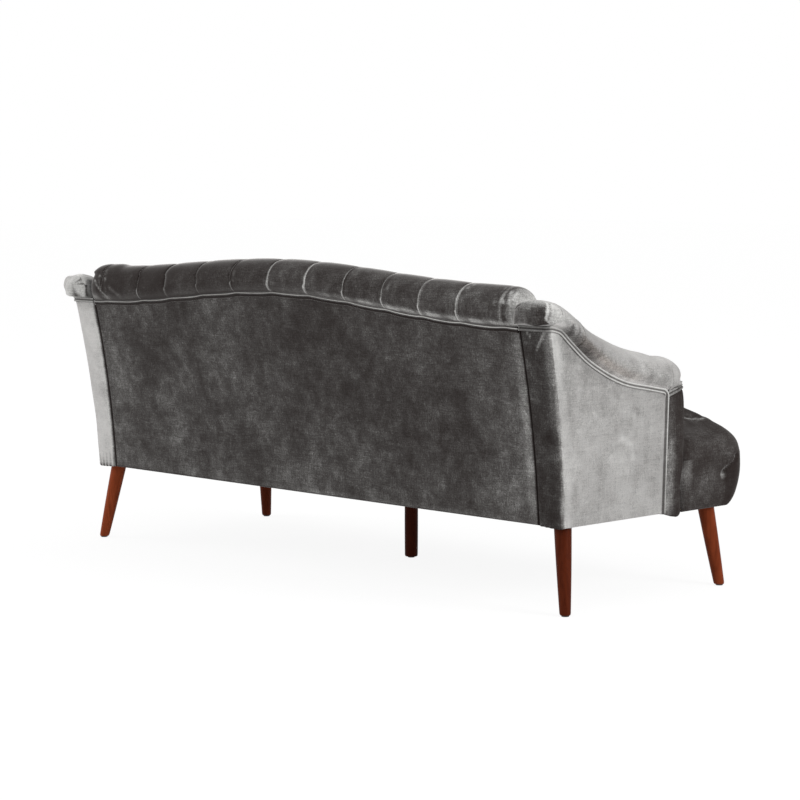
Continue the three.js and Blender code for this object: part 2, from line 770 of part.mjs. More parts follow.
// Room that the arm frame, the outside cover and the welt take out of the padding
function armFrameRoom() {
  const ys = armPlaces(armPostStartY - seatGap, armRollRearY + cutOverrun);
  return sidewaysPlate(ys, level(frameBottom), (y) => armLineOffset(y, weltSeat), innerX, farX);
}

function frontPadRoom() {
  const ys = [armRollFrontY - cutOverrun, frontPadRearY + seatGap];
  return sidewaysPlate(ys, level(frameBottom), (y) => frontPadTopZ(y) + seatGap, armInsideX - cutOverrun, farX);
}

const postRoomY = backFaceY(seatUnderHeight) - backFrameFront - seatGap;
const postRoom = box(armInsideX - cutOverrun, innerX, postRoomY, armRollRearY + cutOverrun,
  frameBottom, armWeltTop + weltSeat);
addPair('arm_pad', cut(armForm(0), armFrameRoom(), frontPadRoom(), postRoom), materials.velvetLight);

// Padded front of an arm, rounded to both sides, over the post and the end of the rail
function frontPadLoop(inset, bulge, zAt) {
  const outerAt = (z) => sideFaceX(z) + bulge - inset;
  const face = frontPadFaceY + inset;
  const radius = frontPadCornerRadius - inset;
  const level0 = zAt(frontPadFaceY);
  const outer = outerAt(level0);
  const inner = armInsideX + inset;
  const arcs = count(frontPadArcSteps + 1).map((step) => Math.PI / 2 * step / frontPadArcSteps);
  const outline = [
    [outer, frontPadRearY],
    ...arcs.map((angle) => [outer - radius + radius * Math.cos(angle), face + radius - radius * Math.sin(angle)]),
    ...arcs.map((angle) => [inner + radius - radius * Math.sin(angle), face + radius - radius * Math.cos(angle)]),
    [inner, frontPadRearY],
  ];
  return outline.map(([x, y]) => [x, y, zAt(y)]);
}

const frontPadLoops = [
  frontPadLoop(frontPadFootInset, 0, level(frontPadFootHeight)),
  ...frontPadHeightShares.map((share) => frontPadLoop(0, frontPadBulge * Math.sin(Math.PI * share),
    level(mix(frontPadFootHeight, armWeltLow, share)))),
  frontPadLoop(0, 0, frontPadTopZ),
];
const frameRoom = raised(framePlan(seatGap), frameBottom - cutOverrun, seatUnderHeight);
const armRailRoom = sidewaysPlate(armPlaces(armPostStartY - seatGap, sideEdgeY), level(frameBottom),
  (y) => armLineOffset(y, weltSeat), innerX, sideRailOuterX + seatGap);
addPair('arm_front_pad', cut(loft(frontPadLoops), frameRoom, armRailRoom), materials.velvet);

// Inside back with its roll: rows of blind tufts, and pleats that run from the top row over the roll
function pleatDistance(x, offset) {
  const place = x / pleatPitch + offset;
  return Math.abs(place - Math.round(place)) * pleatPitch;
}

// Sine of the highest point of the roll's arc, so that the roll comes to its full height
const rollArcReach = Math.sin(Math.PI * Math.round(rollArcSteps / 2) / rollArcSteps);

function backSection(x) {
  const start = backWeltZ(x) + weltSeat;
  const top = backRollZ(x);
  const wideZ = mix(backWeltZ(x), top, rollWidestShare);
  const onPleat = pleatDistance(x, 1 / 2) < seatGap;
  const betweenPleats = pleatDistance(x, 0) < seatGap;
  const padAt = (z) => mix(backPadAtSeat, backPadAtTop, (z - seatLine) / (wideZ - seatLine));
  const frontAt = (z) => backFaceY(z) - backPadRear - padAt(z);
  const roundEnd = 1 - quarterRound((backPadEndX - Math.abs(x)) / backRollEndLength);
  const pleat = (onPleat ? pleatDepth : 0) + backRollEndDrop * roundEnd;
  const front = frontAt(wideZ);
  const rear = backFaceY(wideZ) + rollBehind;
  const middle = (front + rear) / 2;
  const arc = count(rollArcSteps + 1).map((step) => {
    const angle = Math.PI * step / rollArcSteps;
    const rise = Math.sin(angle) / rollArcReach;
    return [middle + ((rear - front) / 2 - pleat) * Math.cos(angle), wideZ + (top - wideZ - pleat) * rise];
  });
  const inside = backRowShares.slice(1).map((share, row) => {
    const z = mix(seatLine, wideZ, share);
    const tuftRow = backTuftRowShares.indexOf(share);
    const onTuft = tuftRow >= 0 && (tuftRow % 2 === 0 ? onPleat : betweenPleats);
    const onFold = tuftRow < 0 && row < backRowShares.length - 2;
    return [frontAt(z) + backTuftDepth * (onTuft ? 1 : 0) + backTuftDepth * backFoldShare * (onFold ? 1 : 0), z];
  });
  const seamY = backFaceY(start) - weltSink;
  return [
    [backFaceY(seatUnderHeight) - backFrameRear, seatUnderHeight],
    [backFaceY(start) - backFrameRear, start - weltSeat], [seamY, start],
    ...arc, ...inside, [seatRearY + seatGap, seatUnderHeight],
  ].map(([y, z]) => [x, y, z]);
}

const pleatXs = count(pleatCount).map((index) => (index - (pleatCount - 1) / 2) * pleatPitch);
const backEndXs = backRollEndShares.map((share) => backPadEndX - backRollEndLength * share);
const backPadXs = [
  ...backEndXs.map((x) => -x),
  ...pleatXs.flatMap((x) => [x - pleatHalfWidth, x, x + pleatHalfWidth, x + pleatPitch / 2]).slice(0, -1),
  ...backEndXs.reverse(),
];
const backRoom = backSlab(backStations.map((share) => share * (backPadEndX + cutOverrun)), level(frameBottom),
  (x) => backWeltZ(x) + weltSeat, -cutOverrun, backPadRear, backRowCount + 2);
const armFormWide = armForm(seatGap);
add('back_cushion', cut(loft(backPadXs.map(backSection)), backRoom, armFormWide, mirrored(armFormWide)),
  materials.velvet);

// Seat: rings of a rounded plan that fall away to the front and the sides
function seatPlan(side, front) {
  const ring = Math.min(side, front);
  const along = Math.max(side, front) - ring;
  const radius = Math.max(0, seatCornerRadius - ring);
  if (along >= radius) return { side, front, ring };
  const angle = Math.PI / 4 * (1 - along / radius);
  const near = ring + radius - radius * Math.cos(angle);
  const far = ring + radius - radius * Math.sin(angle);
  return side < front ? { side: near, front: far, ring } : { side: far, front: near, ring };
}

const seatEdgeInsets = seatEdgeShares.map(([inset]) => inset * seatEdgeWidth);
const seatInnerHalf = seatEarX - seatEdgeWidth;
const seatHalfCells = Math.floor(2 * seatInnerHalf / pleatPitch - seatEndCellShare);
const seatXs = [
  ...seatEdgeInsets.map((inset) => inset - seatEarX),
  ...count(2 * seatHalfCells + 1).map((index) => (index - seatHalfCells) * pleatPitch / 2),
  ...seatEdgeInsets.map((inset) => seatEarX - inset).reverse(),
];
const seatRowStep = (seatRearY - seatFrontY - seatEdgeWidth) / seatInnerRows;
const seatYs = [
  ...seatEdgeInsets.map((inset) => seatFrontY + inset),
  ...count(seatInnerRows).map((index) => seatFrontY + seatEdgeWidth + (index + 1) * seatRowStep),
];

function seatDip(x, y) {
  const row = (y - seatFrontY - seatEdgeWidth) / seatRowStep;
  if (row < -1 / 4 || Math.abs(x) > seatInnerHalf || y > seatRearY - seatRowStep / 2) return 0;
  if (Math.abs(row % 2) > 1 / 2) return seatTuftDepth * seatFoldShare;
  const onTuft = pleatDistance(x, Math.round(row / 2) % 2 === 0 ? 0 : 1 / 2) < seatGap;
  return onTuft ? seatTuftDepth : 0;
}

function seatTopPoint(x, y) {
  const plan = seatPlan(seatEarX - Math.abs(x), y - seatFrontY);
  const fall = seatEdgeFall * alongShares(seatEdgeShares, plan.ring / seatEdgeWidth);
  const crown = seatCrown * clamp01((plan.ring - seatEdgeWidth) / seatEdgeWidth);
  const sign = x < 0 ? -1 : 1;
  return [sign * (seatEarX - plan.side), seatFrontY + plan.front, seatTopHeight + crown - fall - seatDip(x, y)];
}

// The foot of the seat's side, drawn in under the front and a little at the ears
function seatFootPoint(x, y, inset, sideInset, fall) {
  const pressed = (distance, amount) => (distance >= seatEdgeWidth ? distance
    : amount + distance * (seatEdgeWidth - amount) / seatEdgeWidth);
  const plan = seatPlan(pressed(seatEarX - Math.abs(x), sideInset), pressed(y - seatFrontY, inset));
  const sign = x < 0 ? -1 : 1;
  const edge = seatTopHeight - seatEdgeFall;
  const tuftOff = Math.hypot(y - frontRailFaceY - earTuftSetback,
    mix(edge, seatFootHeight, fall) - seatFootHeight - earTuftRise);
  const tuft = Math.max(0, 1 - tuftOff / earTuftReach);
  const dent = seatEarX - Math.abs(x) < seatGap ? earTuftDepth * tuft : 0;
  return [sign * (seatEarX - plan.side - dent), seatFrontY + plan.front, mix(edge, seatFootHeight, fall)];
}

function seatForm() {
  const columns = seatXs.length;
  const rows = seatYs.length;
  const points = seatYs.flatMap((y) => seatXs.map((x) => seatTopPoint(x, y)));
  const triangles = [];
  for (const row of count(rows - 1)) {
    for (const column of count(columns - 1)) {
      const a = row * columns + column;
      const [b, c, d] = [a + 1, a + columns + 1, a + columns];
      triangles.push([a, b, c], [a, c, d]);
    }
  }
  const rim = [
    ...count(columns - 1).map((column) => [column, 0]),
    ...count(rows - 1).map((row) => [columns - 1, row]),
    ...count(columns - 1).map((column) => [columns - 1 - column, rows - 1]),
    ...count(rows - 1).map((row) => [0, rows - 1 - row]),
  ];
  let above = rim.map(([column, row]) => row * columns + column);
  for (const [insetShare, fallShare] of seatFootShares) {
    const below = rim.map(([column, row]) => points.push(seatFootPoint(seatXs[column], seatYs[row],
      seatFootInset * insetShare, seatFootSideInset * insetShare, fallShare)) - 1);
    above.forEach((a, index) => {
      const next = (index + 1) % rim.length;
      triangles.push([a, below[next], above[next]], [a, below[index], below[next]]);
    });
    above = below;
  }
  const hub = points.push([0, 0, seatFootHeight]) - 1;
  above.forEach((a, index) => triangles.push([hub, above[(index + 1) % rim.length], a]));
  return facingOut(points, triangles);
}

const armRoom = box(armInsideX - seatGap, farX, seatEarRearY, seatRearY + cutOverrun,
  seatFootHeight - cutOverrun, seatLine + cutOverrun);
add('seat_cushion', cut(seatForm(), frameRoom, armRoom, mirrored(armRoom)), materials.velvet);

// Outside back panel from the hem to the welt
const panelXs = backStations.map((share) => share * (backSeamX - seamGap / 2));
const hem = frameBottom - coverHem;
add('outside_back_panel', backSlab(panelXs, level(hem), backWeltZ, 0, coverThickness, backRowCount), materials.velvet);

// Outside arm cover: the side, the rounded rear corner and the strip up to the back panel's seam
const cornerStartY = armMeetY - cornerRadius;

function coverPoint(column, rowShare, depth) {
  const bottom = hem - (column.sag || 0);
  const z = mix(bottom, column.top, rowShare);
  const back = backFaceY(z);
  const side = sideFaceX(z);
  if (column.angle === undefined) {
    const lean = (back - backFaceY(bottom)) / (backFaceY(column.top) - backFaceY(bottom));
    const startY = mix(sideEdgeY, backFaceY(bottom) - cornerRadius, column.share);
    return [side - depth, mix(startY, column.y, lean), z];
  }
  if (column.x !== undefined) return [column.x, back - depth, z];
  const radius = cornerRadius - depth;
  return [
    side - cornerRadius + radius * Math.cos(column.angle),
    back - cornerRadius + radius * Math.sin(column.angle),
    z,
  ];
}

const coverColumns = [
  ...armPlaces(sideEdgeY, cornerStartY).map((y) => ({
    y, share: (y - sideEdgeY) / (cornerStartY - sideEdgeY), top: armLineZ(y),
  })),
  ...count(cornerSteps).map((step) => ({
    angle: Math.PI / 2 * (step + 1) / cornerSteps, top: armWeltTop, sag: cornerSag * smooth((step + 1) / cornerSteps),
  })),
  { angle: Math.PI / 2, x: backSeamX + seamGap / 2, top: armWeltTop, sag: 0 },
];
const coverFace = (depth) => count(backRowCount + 1)
  .map((row) => coverColumns.map((column) => coverPoint(column, row / backRowCount, depth)));
addPair('outside_arm_cover', slab(coverFace(0), coverFace(coverThickness)), materials.velvetLight);

// Welt along the top of the back panel
const backWeltPath = panelXs.map((x) => {
  const z = backWeltZ(x) + seatGap + weltRadius;
  return new THREE.Vector3(x, backFaceY(z) - weltRadius + weltSink, z);
});
add('back_welt', welt(backWeltPath, backWeltPath.map(() => new THREE.Vector3(0, 1, 0))), materials.piping);

// Welt of an arm: up the front edge, along the S-curve and round the rear corner
const weltOff = seatGap + weltRadius;
const weltX = (z) => sideFaceX(z) - weltRadius + weltSink;
const outwardX = new THREE.Vector3(1, 0, 0);
const armWeltPath = [];
const armWeltOutward = [];

function weltPoint(x, y, z, outward) {
  armWeltPath.push(new THREE.Vector3(x, y, z));
  armWeltOutward.push(outward);
}

const edgeTop = armLineZ(sideEdgeY);
for (const row of count(backRowCount)) {
  const z = mix(hem, edgeTop, row / backRowCount);
  weltPoint(weltX(z), weltEdgeY, z, outwardX);
}
for (const step of count(weltTurnSteps + 1)) {
  const angle = Math.PI / 2 * step / weltTurnSteps;
  const z = edgeTop + weltOff * Math.sin(angle);
  weltPoint(weltX(z), sideEdgeY - weltOff * Math.cos(angle), z, outwardX);
}
for (const y of armPlaces(sideEdgeY, cornerStartY).slice(1)) {
  const z = armLineOffset(y, weltOff);
  weltPoint(weltX(z), y, z, outwardX);
}
const weltCornerZ = armWeltTop + weltOff;
for (const step of count(cornerSteps)) {
  const angle = Math.PI / 2 * (step + 1) / cornerSteps;
  const radius = cornerRadius - weltRadius + weltSink;
  weltPoint(sideFaceX(weltCornerZ) - cornerRadius + radius * Math.cos(angle),
    backFaceY(weltCornerZ) - cornerRadius + radius * Math.sin(angle), weltCornerZ,
    new THREE.Vector3(Math.cos(angle), Math.sin(angle), 0));
}
weltPoint(backSeamX + seamGap, backFaceY(weltCornerZ) - weltRadius + weltSink, weltCornerZ, new THREE.Vector3(0, 1, 0));
addPair('arm_welt', welt(armWeltPath, armWeltOutward), materials.piping);

// Put the origin on the floor under the middle of the whole piece
settee.updateMatrixWorld(true);
const bounds = new THREE.Box3().setFromObject(settee, true);
const middle = bounds.getCenter(new THREE.Vector3());
settee.position.set(-middle.x, -middle.y, -bounds.min.z);
const whole = bounds.getSize(new THREE.Vector3());
console.log(`size ${whole.x.toFixed(1)} x ${whole.y.toFixed(1)} x ${whole.z.toFixed(1)} mm`);
console.log(`moved by ${settee.position.toArray().map((value) => value.toFixed(3)).join(', ')} mm`);

export default settee;
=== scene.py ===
"""A velvet settee seen from behind: a camel back rolled over the top, S-curved arms and a T-shaped seat."""

import json
import math

import bpy
import numpy as np
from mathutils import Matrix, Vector

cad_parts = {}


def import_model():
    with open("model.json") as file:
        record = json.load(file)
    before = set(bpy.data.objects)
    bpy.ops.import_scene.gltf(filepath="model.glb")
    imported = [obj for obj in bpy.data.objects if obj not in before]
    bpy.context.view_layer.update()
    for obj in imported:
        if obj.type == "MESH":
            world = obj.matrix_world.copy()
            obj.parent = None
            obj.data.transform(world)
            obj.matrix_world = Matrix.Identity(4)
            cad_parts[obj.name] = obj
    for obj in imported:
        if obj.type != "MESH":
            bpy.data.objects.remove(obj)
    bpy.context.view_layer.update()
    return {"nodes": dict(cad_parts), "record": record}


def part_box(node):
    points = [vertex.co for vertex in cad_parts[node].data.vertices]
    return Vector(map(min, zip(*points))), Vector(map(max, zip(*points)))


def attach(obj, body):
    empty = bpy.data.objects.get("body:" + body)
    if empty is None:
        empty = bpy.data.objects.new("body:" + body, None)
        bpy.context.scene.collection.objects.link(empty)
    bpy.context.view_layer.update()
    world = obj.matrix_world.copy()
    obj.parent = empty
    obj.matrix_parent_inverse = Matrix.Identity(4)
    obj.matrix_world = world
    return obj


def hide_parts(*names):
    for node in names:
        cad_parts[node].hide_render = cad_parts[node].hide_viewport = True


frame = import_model()

# Metres, +X along the length, +Y towards the back, +Z up. Depths are counted from the middle of the feet.
# A tone is how light the velvet is painted, from 0 to 1: the pile's own mottling together with painted light,
# shade and sheen. A nap is the way and the amount that it leans.
FEET = [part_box(f"foot_glide_{place}") for place in ("rear_right", "front_right")]
FEET_MIDDLE_Y = sum(low.y + high.y for low, high in FEET) / 4
FRAME_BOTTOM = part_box("seat_rail_rear")[0].z
RAIL_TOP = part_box("seat_rail_rear")[1].z
SIDE_RAIL_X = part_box("seat_rail_side_right")[1].x
SEAM_DEPTH = 0.0003
HAIRLINE = 0.0002
LEAST_TONE = 0.01

# Outside skin
BACK_FOOT_Y = 0.3155
BACK_LEAN = 0.0278
BACK_HOLLOW = 0.0409
BACK_SEAM_X = 0.800
SIDE_FOOT_X = 0.879
SIDE_FLARE = 0.014
CORNER_RADIUS = 0.011
COVER_THICKNESS = 0.0075
HEM_DROP = 0.001
CORNER_SAG = 0.004
SIDE_EDGE_Y = -0.050
SEAM_TUCK = 0.0065
SEAM_TUCK_WIDTH = 0.008

# Camel back
WELT_END_HEIGHT = 0.674
WELT_RISE = 0.052
ROLL_END_HEIGHT = 0.777
ROLL_RISE = 0.041
ROLL_BEHIND = 0.018
ROLL_WIDEST_SHARE = 0.4
BACK_PAD_REAR = 0.0389
BACK_PAD_AT_SEAT = 0.0997
BACK_PAD_AT_TOP = 0.062
BACK_PAD_END_X = 0.797
BACK_END_LENGTH = 0.045
BACK_END_DROP = 0.026
FAR_END_STRETCH = 1.15
FAR_END_LAP = 0.013
WELT_SAG = 0.005
WELT_SAG_X = -0.38
WELT_SAG_WIDTH = 0.30
ROLL_SAG = 0.0055
ROLL_LIFT = 0.005
ROLL_LIFT_X = 0.66
PLEAT_PITCH = 0.136
PLEAT_COUNT = 12
PLEAT_SHIFT_SHARES = [
    -0.09, -0.25, -0.114, -0.121, -0.154, -0.206, -0.22, -0.235, -0.22, -0.136, -0.044, -0.066,
]
TUFT_ROW_SHARES = [0.84, 0.5, 0.16]
TUFT_ROW_PITCH = 0.09
TUFT_SLANT_SHARE = 0.8
TUFT_WIDTH = 0.014
TUFT_CREASE = 0.006
TUFT_FOLD = 0.02
BACK_TUFT_DEPTH = 0.022
BACK_FOLD_DEPTH = 0.009

# Arms
ARM_WELT_START_Y = -0.053
ARM_WELT_END_Y = 0.37586
ARM_WELT_LOW = 0.511
ARM_WELT_RISE = 0.170
ARM_WELT_SHARES = [
    (0, -0.015), (0.18, 0.068), (0.36, 0.153), (0.5, 0.27), (0.6, 0.385),
    (0.68, 0.49), (0.75, 0.605), (0.86, 0.815), (0.93, 0.95), (1, 1),
]
ARM_RIDGE_START_Y = -0.040
ARM_RIDGE_END_Y = 0.40186
ARM_RIDGE_LOW = 0.588
ARM_RIDGE_RISE = 0.168
ARM_RIDGE_SHARES = [
    (0, 0.025), (0.1, 0.095), (0.2, 0.15), (0.3, 0.213), (0.4, 0.29), (0.5, 0.39),
    (0.6, 0.500), (0.7, 0.632), (0.8, 0.785), (0.9, 0.905), (0.96, 0.944), (1, 0.98),
]
ARM_INSIDE_X = 0.772
ARM_INSIDE_REAR_X = 0.799
ARM_SHIFT_START_Y = 0.235
ARM_SHIFT_END_Y = 0.330
ARM_OVERHANG_FRONT = 0.013
ARM_OVERHANG_REAR = 0.033
ARM_ROLL_FRONT_Y = -0.121
ARM_ROLL_REAR_Y = 0.41286
ARM_FRONT_LENGTH, ARM_FRONT_DROP, ARM_FRONT_DRAW = 0.062, 0.052, 0.022
ARM_REAR_LENGTH, ARM_REAR_DRAW_OUTSIDE, ARM_REAR_DROP, ARM_REAR_DRAW_INSIDE = 0.038, 0.034, 0.015, 0.010
ARM_REAR_BULGE = 0.007
ARM_END_SQUARING = 0.075
ARM_CROWN = 0.004
ARM_ROLL_SHARES = [
    (-0.98, 0.42), (-0.8, 0.76), (-0.45, 0.95), (0, 1), (0.42, 0.96), (0.76, 0.8), (0.96, 0.56), (1, 0.36),
]
ARM_END_SHARES = [
    (-0.99, 0.46), (-0.9, 0.76), (-0.6, 0.93), (-0.1, 1),
    (0.5, 0.985), (0.86, 0.88), (1.02, 0.6), (0.86, 0.33),
]
ARM_UNDER_SHARES = (0.62, 0.07)
ARM_NOSE_DRAW_SHARE = 0.13
ARM_NOSE_LENGTH = 0.08
ARM_OUTLINE_POINTS = 140
ARM_GATHERED_YS = (0.300, 0.315, 0.330, 0.345, 0.370)
ARM_FRAME_X = 0.8434
ARM_POST_Y = 0.29045
WELT_SEAT = 0.0086
WELT_SINK = 0.0015

# Padded front of an arm
FRONT_PAD_FACE_Y = -0.1420
FRONT_PAD_REAR_Y = -0.0586
FRONT_PAD_RADIUS = 0.040
FRONT_PAD_BULGE = 0.004
FRONT_PAD_FOOT = 0.197
FRONT_PAD_FOOT_INSET = 0.008
FRONT_PAD_RISE_SHARE = 0.32
FRONT_PAD_BODY_TOP = ARM_WELT_LOW - 0.012
FRONT_BAND_HEIGHT = 0.0215
FRONT_BAND_SET_BACK = 0.006

# Seat
SEAT_FRONT_Y = -0.404
SEAT_REAR_Y = 0.205
SEAT_EAR_X = 0.881
SEAT_EAR_REAR_Y = -0.1435
SEAT_CORNER = 0.080
SEAT_TOP = 0.462
SEAT_UNDER = 0.345
SEAT_CROWN = 0.008
SEAT_FOOT = 0.204
SEAT_EDGE_WIDTH = 0.137
SEAT_EDGE_FALL = 0.128
SEAT_EDGE_SHARES = [(0, 1), (0.045, 0.82), (0.13, 0.68), (0.3, 0.53), (0.51, 0.4), (0.72, 0.23), (1, 0)]
SEAT_FOOT_INSET = 0.074
SEAT_FOOT_SIDE_INSET = 0.009
SEAT_FOOT_CORNER = 0.0245
SEAT_FOOT_SHARES = [
    (0, 0), (0.26, 0.03), (0.45, 0.115), (0.68, 0.31), (0.83, 0.5), (0.93, 0.72), (0.97, 0.85), (1, 1),
]
SKIRT_ROWS = 41
EAR_CREASE_LENGTH = 0.120
EAR_CREASE_RISE = 0.090
EAR_CREASE_SHARES = [
    (0, 0), (0.13, 0.02), (0.18, 0.06), (0.27, 0.17), (0.38, 0.36), (0.6, 0.45), (0.74, 0.63), (1, 0.95),
]
EAR_LOBE_X, EAR_LOBE_Y, EAR_LOBE_FALL = 0.765, -0.245, 0.011
EAR_FOLD_X, EAR_FOLD_FRONT_Y, EAR_FOLD_BEND = 0.7905, -0.3164, 4.2
EAR_TUFT_Y, EAR_TUFT_Z = -0.2908, 0.2818
SEAT_LINE = SEAT_TOP + SEAT_CROWN
SEAT_TUFT_DEPTH = 0.018
SEAT_FOLD_DEPTH = 0.007
SEAT_TUFT_ROWS = 4

# Welts
WELT_RADIUS = 0.0036
WELT_TWIN_RADIUS = 0.0031
WELT_TWIN_DROP = 0.0066
ARM_TWIN_DROP = 0.0080
WELT_PROUD = 0.0038
WELT_STEP = 0.004
WELT_BEND = 0.012

# Legs
LEG_SIDES = 48
LEG_EASE = 0.0022
LEG_SWELL = 0.0006
LEG_TOP_SWELL_SHARE = 1.06
LEG_FOOT_SHARE = 0.03
LEG_TOP_EASE_SHARE = 0.012
# Painted light and shade of each leg, darker for the shaded near and centre legs, lighter for the lit ones
LEG_PAINTED_LIGHT = {"rear_right": 0.75, "rear_left": 0.17, "front_right": 0.2, "front_left": 0.45, "centre": 0.1}

ARM_WELT_TOP = ARM_WELT_LOW + ARM_WELT_RISE
SKIN_HEIGHT = WELT_END_HEIGHT - FRAME_BOTTOM
HEM = FRAME_BOTTOM - HEM_DROP
QUARTER = math.pi / 2

# Soft patches in the pile: place across, height, width, tallness and strength
BACK_PATCHES = [
    (0.74, 0.40, 0.11, 0.20, 0.030), (0.60, 0.34, 0.14, 0.10, 0.014), (0.14, 0.36, 0.10, 0.08, 0.012),
    (-0.30, 0.52, 0.16, 0.12, -0.016), (0.25, 0.64, 0.35, 0.07, -0.012), (-0.58, 0.60, 0.12, 0.07, 0.022),
    (-0.76, 0.50, 0.09, 0.16, 0.036), (-0.70, 0.27, 0.09, 0.07, 0.045), (-0.62, 0.40, 0.07, 0.05, -0.012),
]
SIDE_PATCHES = [
    (0.115, 0.35, 0.026, 0.045, 0.16), (0.072, 0.36, 0.006, 0.055, 0.15), (0.040, 0.44, 0.0035, 0.022, 0.20),
    (0.090, 0.47, 0.012, 0.030, 0.12), (0.281, 0.385, 0.004, 0.022, 0.20), (0.265, 0.40, 0.010, 0.04, 0.10),
    (0.080, 0.25, 0.020, 0.030, 0.08), (0.16, 0.42, 0.03, 0.04, 0.05),
]

# Brushed lines, gathers and folds: start, end, width and strength; the gathers and creases carry painted
# shade, the roll's folds painted highlights
SIDE_MARKS = [
    ((0.1419, 0.3935), (0.1129, 0.4080), 0.0040, 0.16), ((0.1129, 0.4080), (0.0754, 0.3881), 0.0045, 0.20),
    ((0.0754, 0.3881), (0.0663, 0.3559), 0.0050, 0.18), ((0.0663, 0.3559), (0.0868, 0.3237), 0.0045, 0.14),
    ((0.1317, 0.3373), (0.1480, 0.3650), 0.0050, 0.14), ((0.1219, 0.5118), (0.1045, 0.4578), 0.0030, 0.14),
    ((0.0718, 0.4627), (0.0627, 0.4354), 0.0022, 0.26), ((0.3076, 0.4186), (0.2817, 0.3812), 0.0030, 0.20),
    ((0.2817, 0.3812), (0.2977, 0.3472), 0.0030, 0.18),
]
GATHERS = [
    ((0.3380, 0.6890), (0.3251, 0.6654), 0.0042, 0.90), ((0.3130, 0.6880), (0.3138, 0.6657), 0.0034, 0.75),
    ((0.3480, 0.7170), (0.3330, 0.7060), 0.0034, 0.80), ((0.3240, 0.7010), (0.3340, 0.6950), 0.0030, 0.45),
]
FAR_END_CREASES = [
    ((0.8277, 0.7368), (0.8060, 0.7152), 0.0016, 1.0), ((0.8060, 0.7152), (0.8036, 0.6926), 0.0016, 0.7),
]
ROLL_FOLDS = [
    ((0.768, 0.737), (0.718, 0.694), 0.0020, 0.24), ((0.736, 0.768), (0.722, 0.742), 0.0018, 0.14),
    ((0.722, 0.742), (0.714, 0.712), 0.0018, 0.10), ((0.752, 0.752), (0.738, 0.716), 0.0018, 0.12),
    ((0.700, 0.722), (0.660, 0.700), 0.0040, 0.10), ((0.172, 0.785), (0.168, 0.757), 0.0016, 0.10),
    ((-0.388, 0.772), (-0.393, 0.742), 0.0016, 0.14), ((-0.650, 0.779), (-0.632, 0.765), 0.0018, 0.22),
    ((-0.776, 0.765), (-0.767, 0.738), 0.0016, 0.45), ((-0.787, 0.760), (-0.779, 0.735), 0.0018, 0.35),
    ((-0.748, 0.770), (-0.742, 0.735), 0.0016, 0.32), ((-0.765, 0.770), (-0.758, 0.735), 0.0014, 0.30),
]

# Band folded twice along an arm front's top: drop from its top, growth and tone, the tone a painted highlight
# on the crests and painted shade in the folds
FRONT_BAND = [
    (-0.0205, -0.0005, 0.10), (-0.0190, -0.0030, 0.03), (-0.0176, -0.0008, 0.25), (-0.0155, 0.0014, 0.55),
    (-0.0130, 0.0018, 0.62), (-0.0108, 0.0004, 0.40), (-0.0096, -0.0026, 0.05), (-0.0084, 0.0000, 0.30),
    (-0.0062, 0.0018, 0.58), (-0.0036, 0.0010, 0.62), (-0.0014, -0.0014, 0.40), (0.0, -0.0050, 0.04),
    (0.0004, -0.0090, 0.35),
]


# Sums

def clamp01(value):
    return np.clip(value, 0, 1)


def mix(start, end, share):
    return start + (end - start) * share


def smooth(share):
    share = clamp01(share)
    return share * share * (3 - 2 * share)


def ramp(value, start, width):
    """Smooth step from 0 at start to 1 one width further; a negative width falls instead."""
    return smooth((value - start) / width)


def quarter_round(share):
    return np.sqrt(1 - (1 - clamp01(share)) ** 2)


def hill(distance, width):
    return np.exp(-((distance / width) ** 2))


def stroke(across, up, start, end, width):
    """A soft line between two places of a surface."""
    way = np.subtract(end, start)
    t = clamp01(((across - start[0]) * way[0] + (up - start[1]) * way[1]) / (way @ way))
    return hill(np.hypot(across - start[0] - t * way[0], up - start[1] - t * way[1]), width)


def strokes(across, up, table, widening=1.0):
    return sum(
        strength * stroke(across, up, start, end, widening * width) for start, end, width, strength in table
    )


def patches(across, up, table, lean=0.0):
    return sum(
        strength * hill(across - at - lean * (up - height), width) * hill(up - height, tallness)
        for at, height, width, tallness, strength in table
    )


def seam_tuck(edge):
    """How far a cover draws in near its seams."""
    return SEAM_TUCK * (1 - quarter_round(edge / SEAM_TUCK_WIDTH))


def noise(points, scale, seed=0.0):
    """Smooth waves between -1 and 1, the same on each run."""
    p = np.asarray(points, float) * scale
    total = np.zeros(p.shape[:-1])
    for turn in range(1, 6):
        angle = seed + 2.399963 * turn
        way = np.array([math.cos(angle), math.sin(angle), math.cos(2 * angle + seed)])
        total += np.sin(p @ way * (1 + turn / 4) + angle * 5)
    return total / 5


def along_shares(shares, share):
    """Height between the points of a share table, with rounded knots."""
    places, values = np.array(shares, float).T
    last = len(places) - 1
    place = clamp01(np.asarray(share, float))
    knots = np.arange(last + 1)
    before, after = np.maximum(knots - 1, 0), np.minimum(knots + 1, last)
    slopes = (values[after] - values[before]) / (places[after] - places[before])
    index = np.clip(np.searchsorted(places, place) - 1, 0, last - 1)
    span = places[index + 1] - places[index]
    t = (place - places[index]) / span
    return (
        values[index] * (1 - t) ** 2 * (1 + 2 * t) + slopes[index] * span * t * (1 - t) ** 2
        + values[index + 1] * t * t * (3 - 2 * t) - slopes[index + 1] * span * t * t * (1 - t)
    )


def path_lengths(path):
    return np.concatenate([[0], np.cumsum(np.linalg.norm(np.diff(path, axis=0), axis=1))])


def smooth_curve(knots, count):
    """Points evenly spaced along a curve through the knots."""
    knots = np.asarray(knots, float)
    lengths = path_lengths(knots)
    shares, at = lengths / lengths[-1], np.linspace(0, 1, count)
    return np.stack([along_shares(np.column_stack([shares, axis]), at) for axis in knots.T], axis=1)


def places(start, end, step, fine, fine_width, fine_step):
    """Places from start to end, closer together near the fine ones."""
    found = [start]
    fine = np.array(fine)
    while found[-1] < end:
        near = np.min(np.abs(fine - found[-1])) < fine_width
        found.append(found[-1] + (fine_step if near else step))
    found[-1] = end
    if found[-1] - found[-2] < fine_step / 2:
        found.pop(-2)
    return np.array(found)


# The settee's main lines

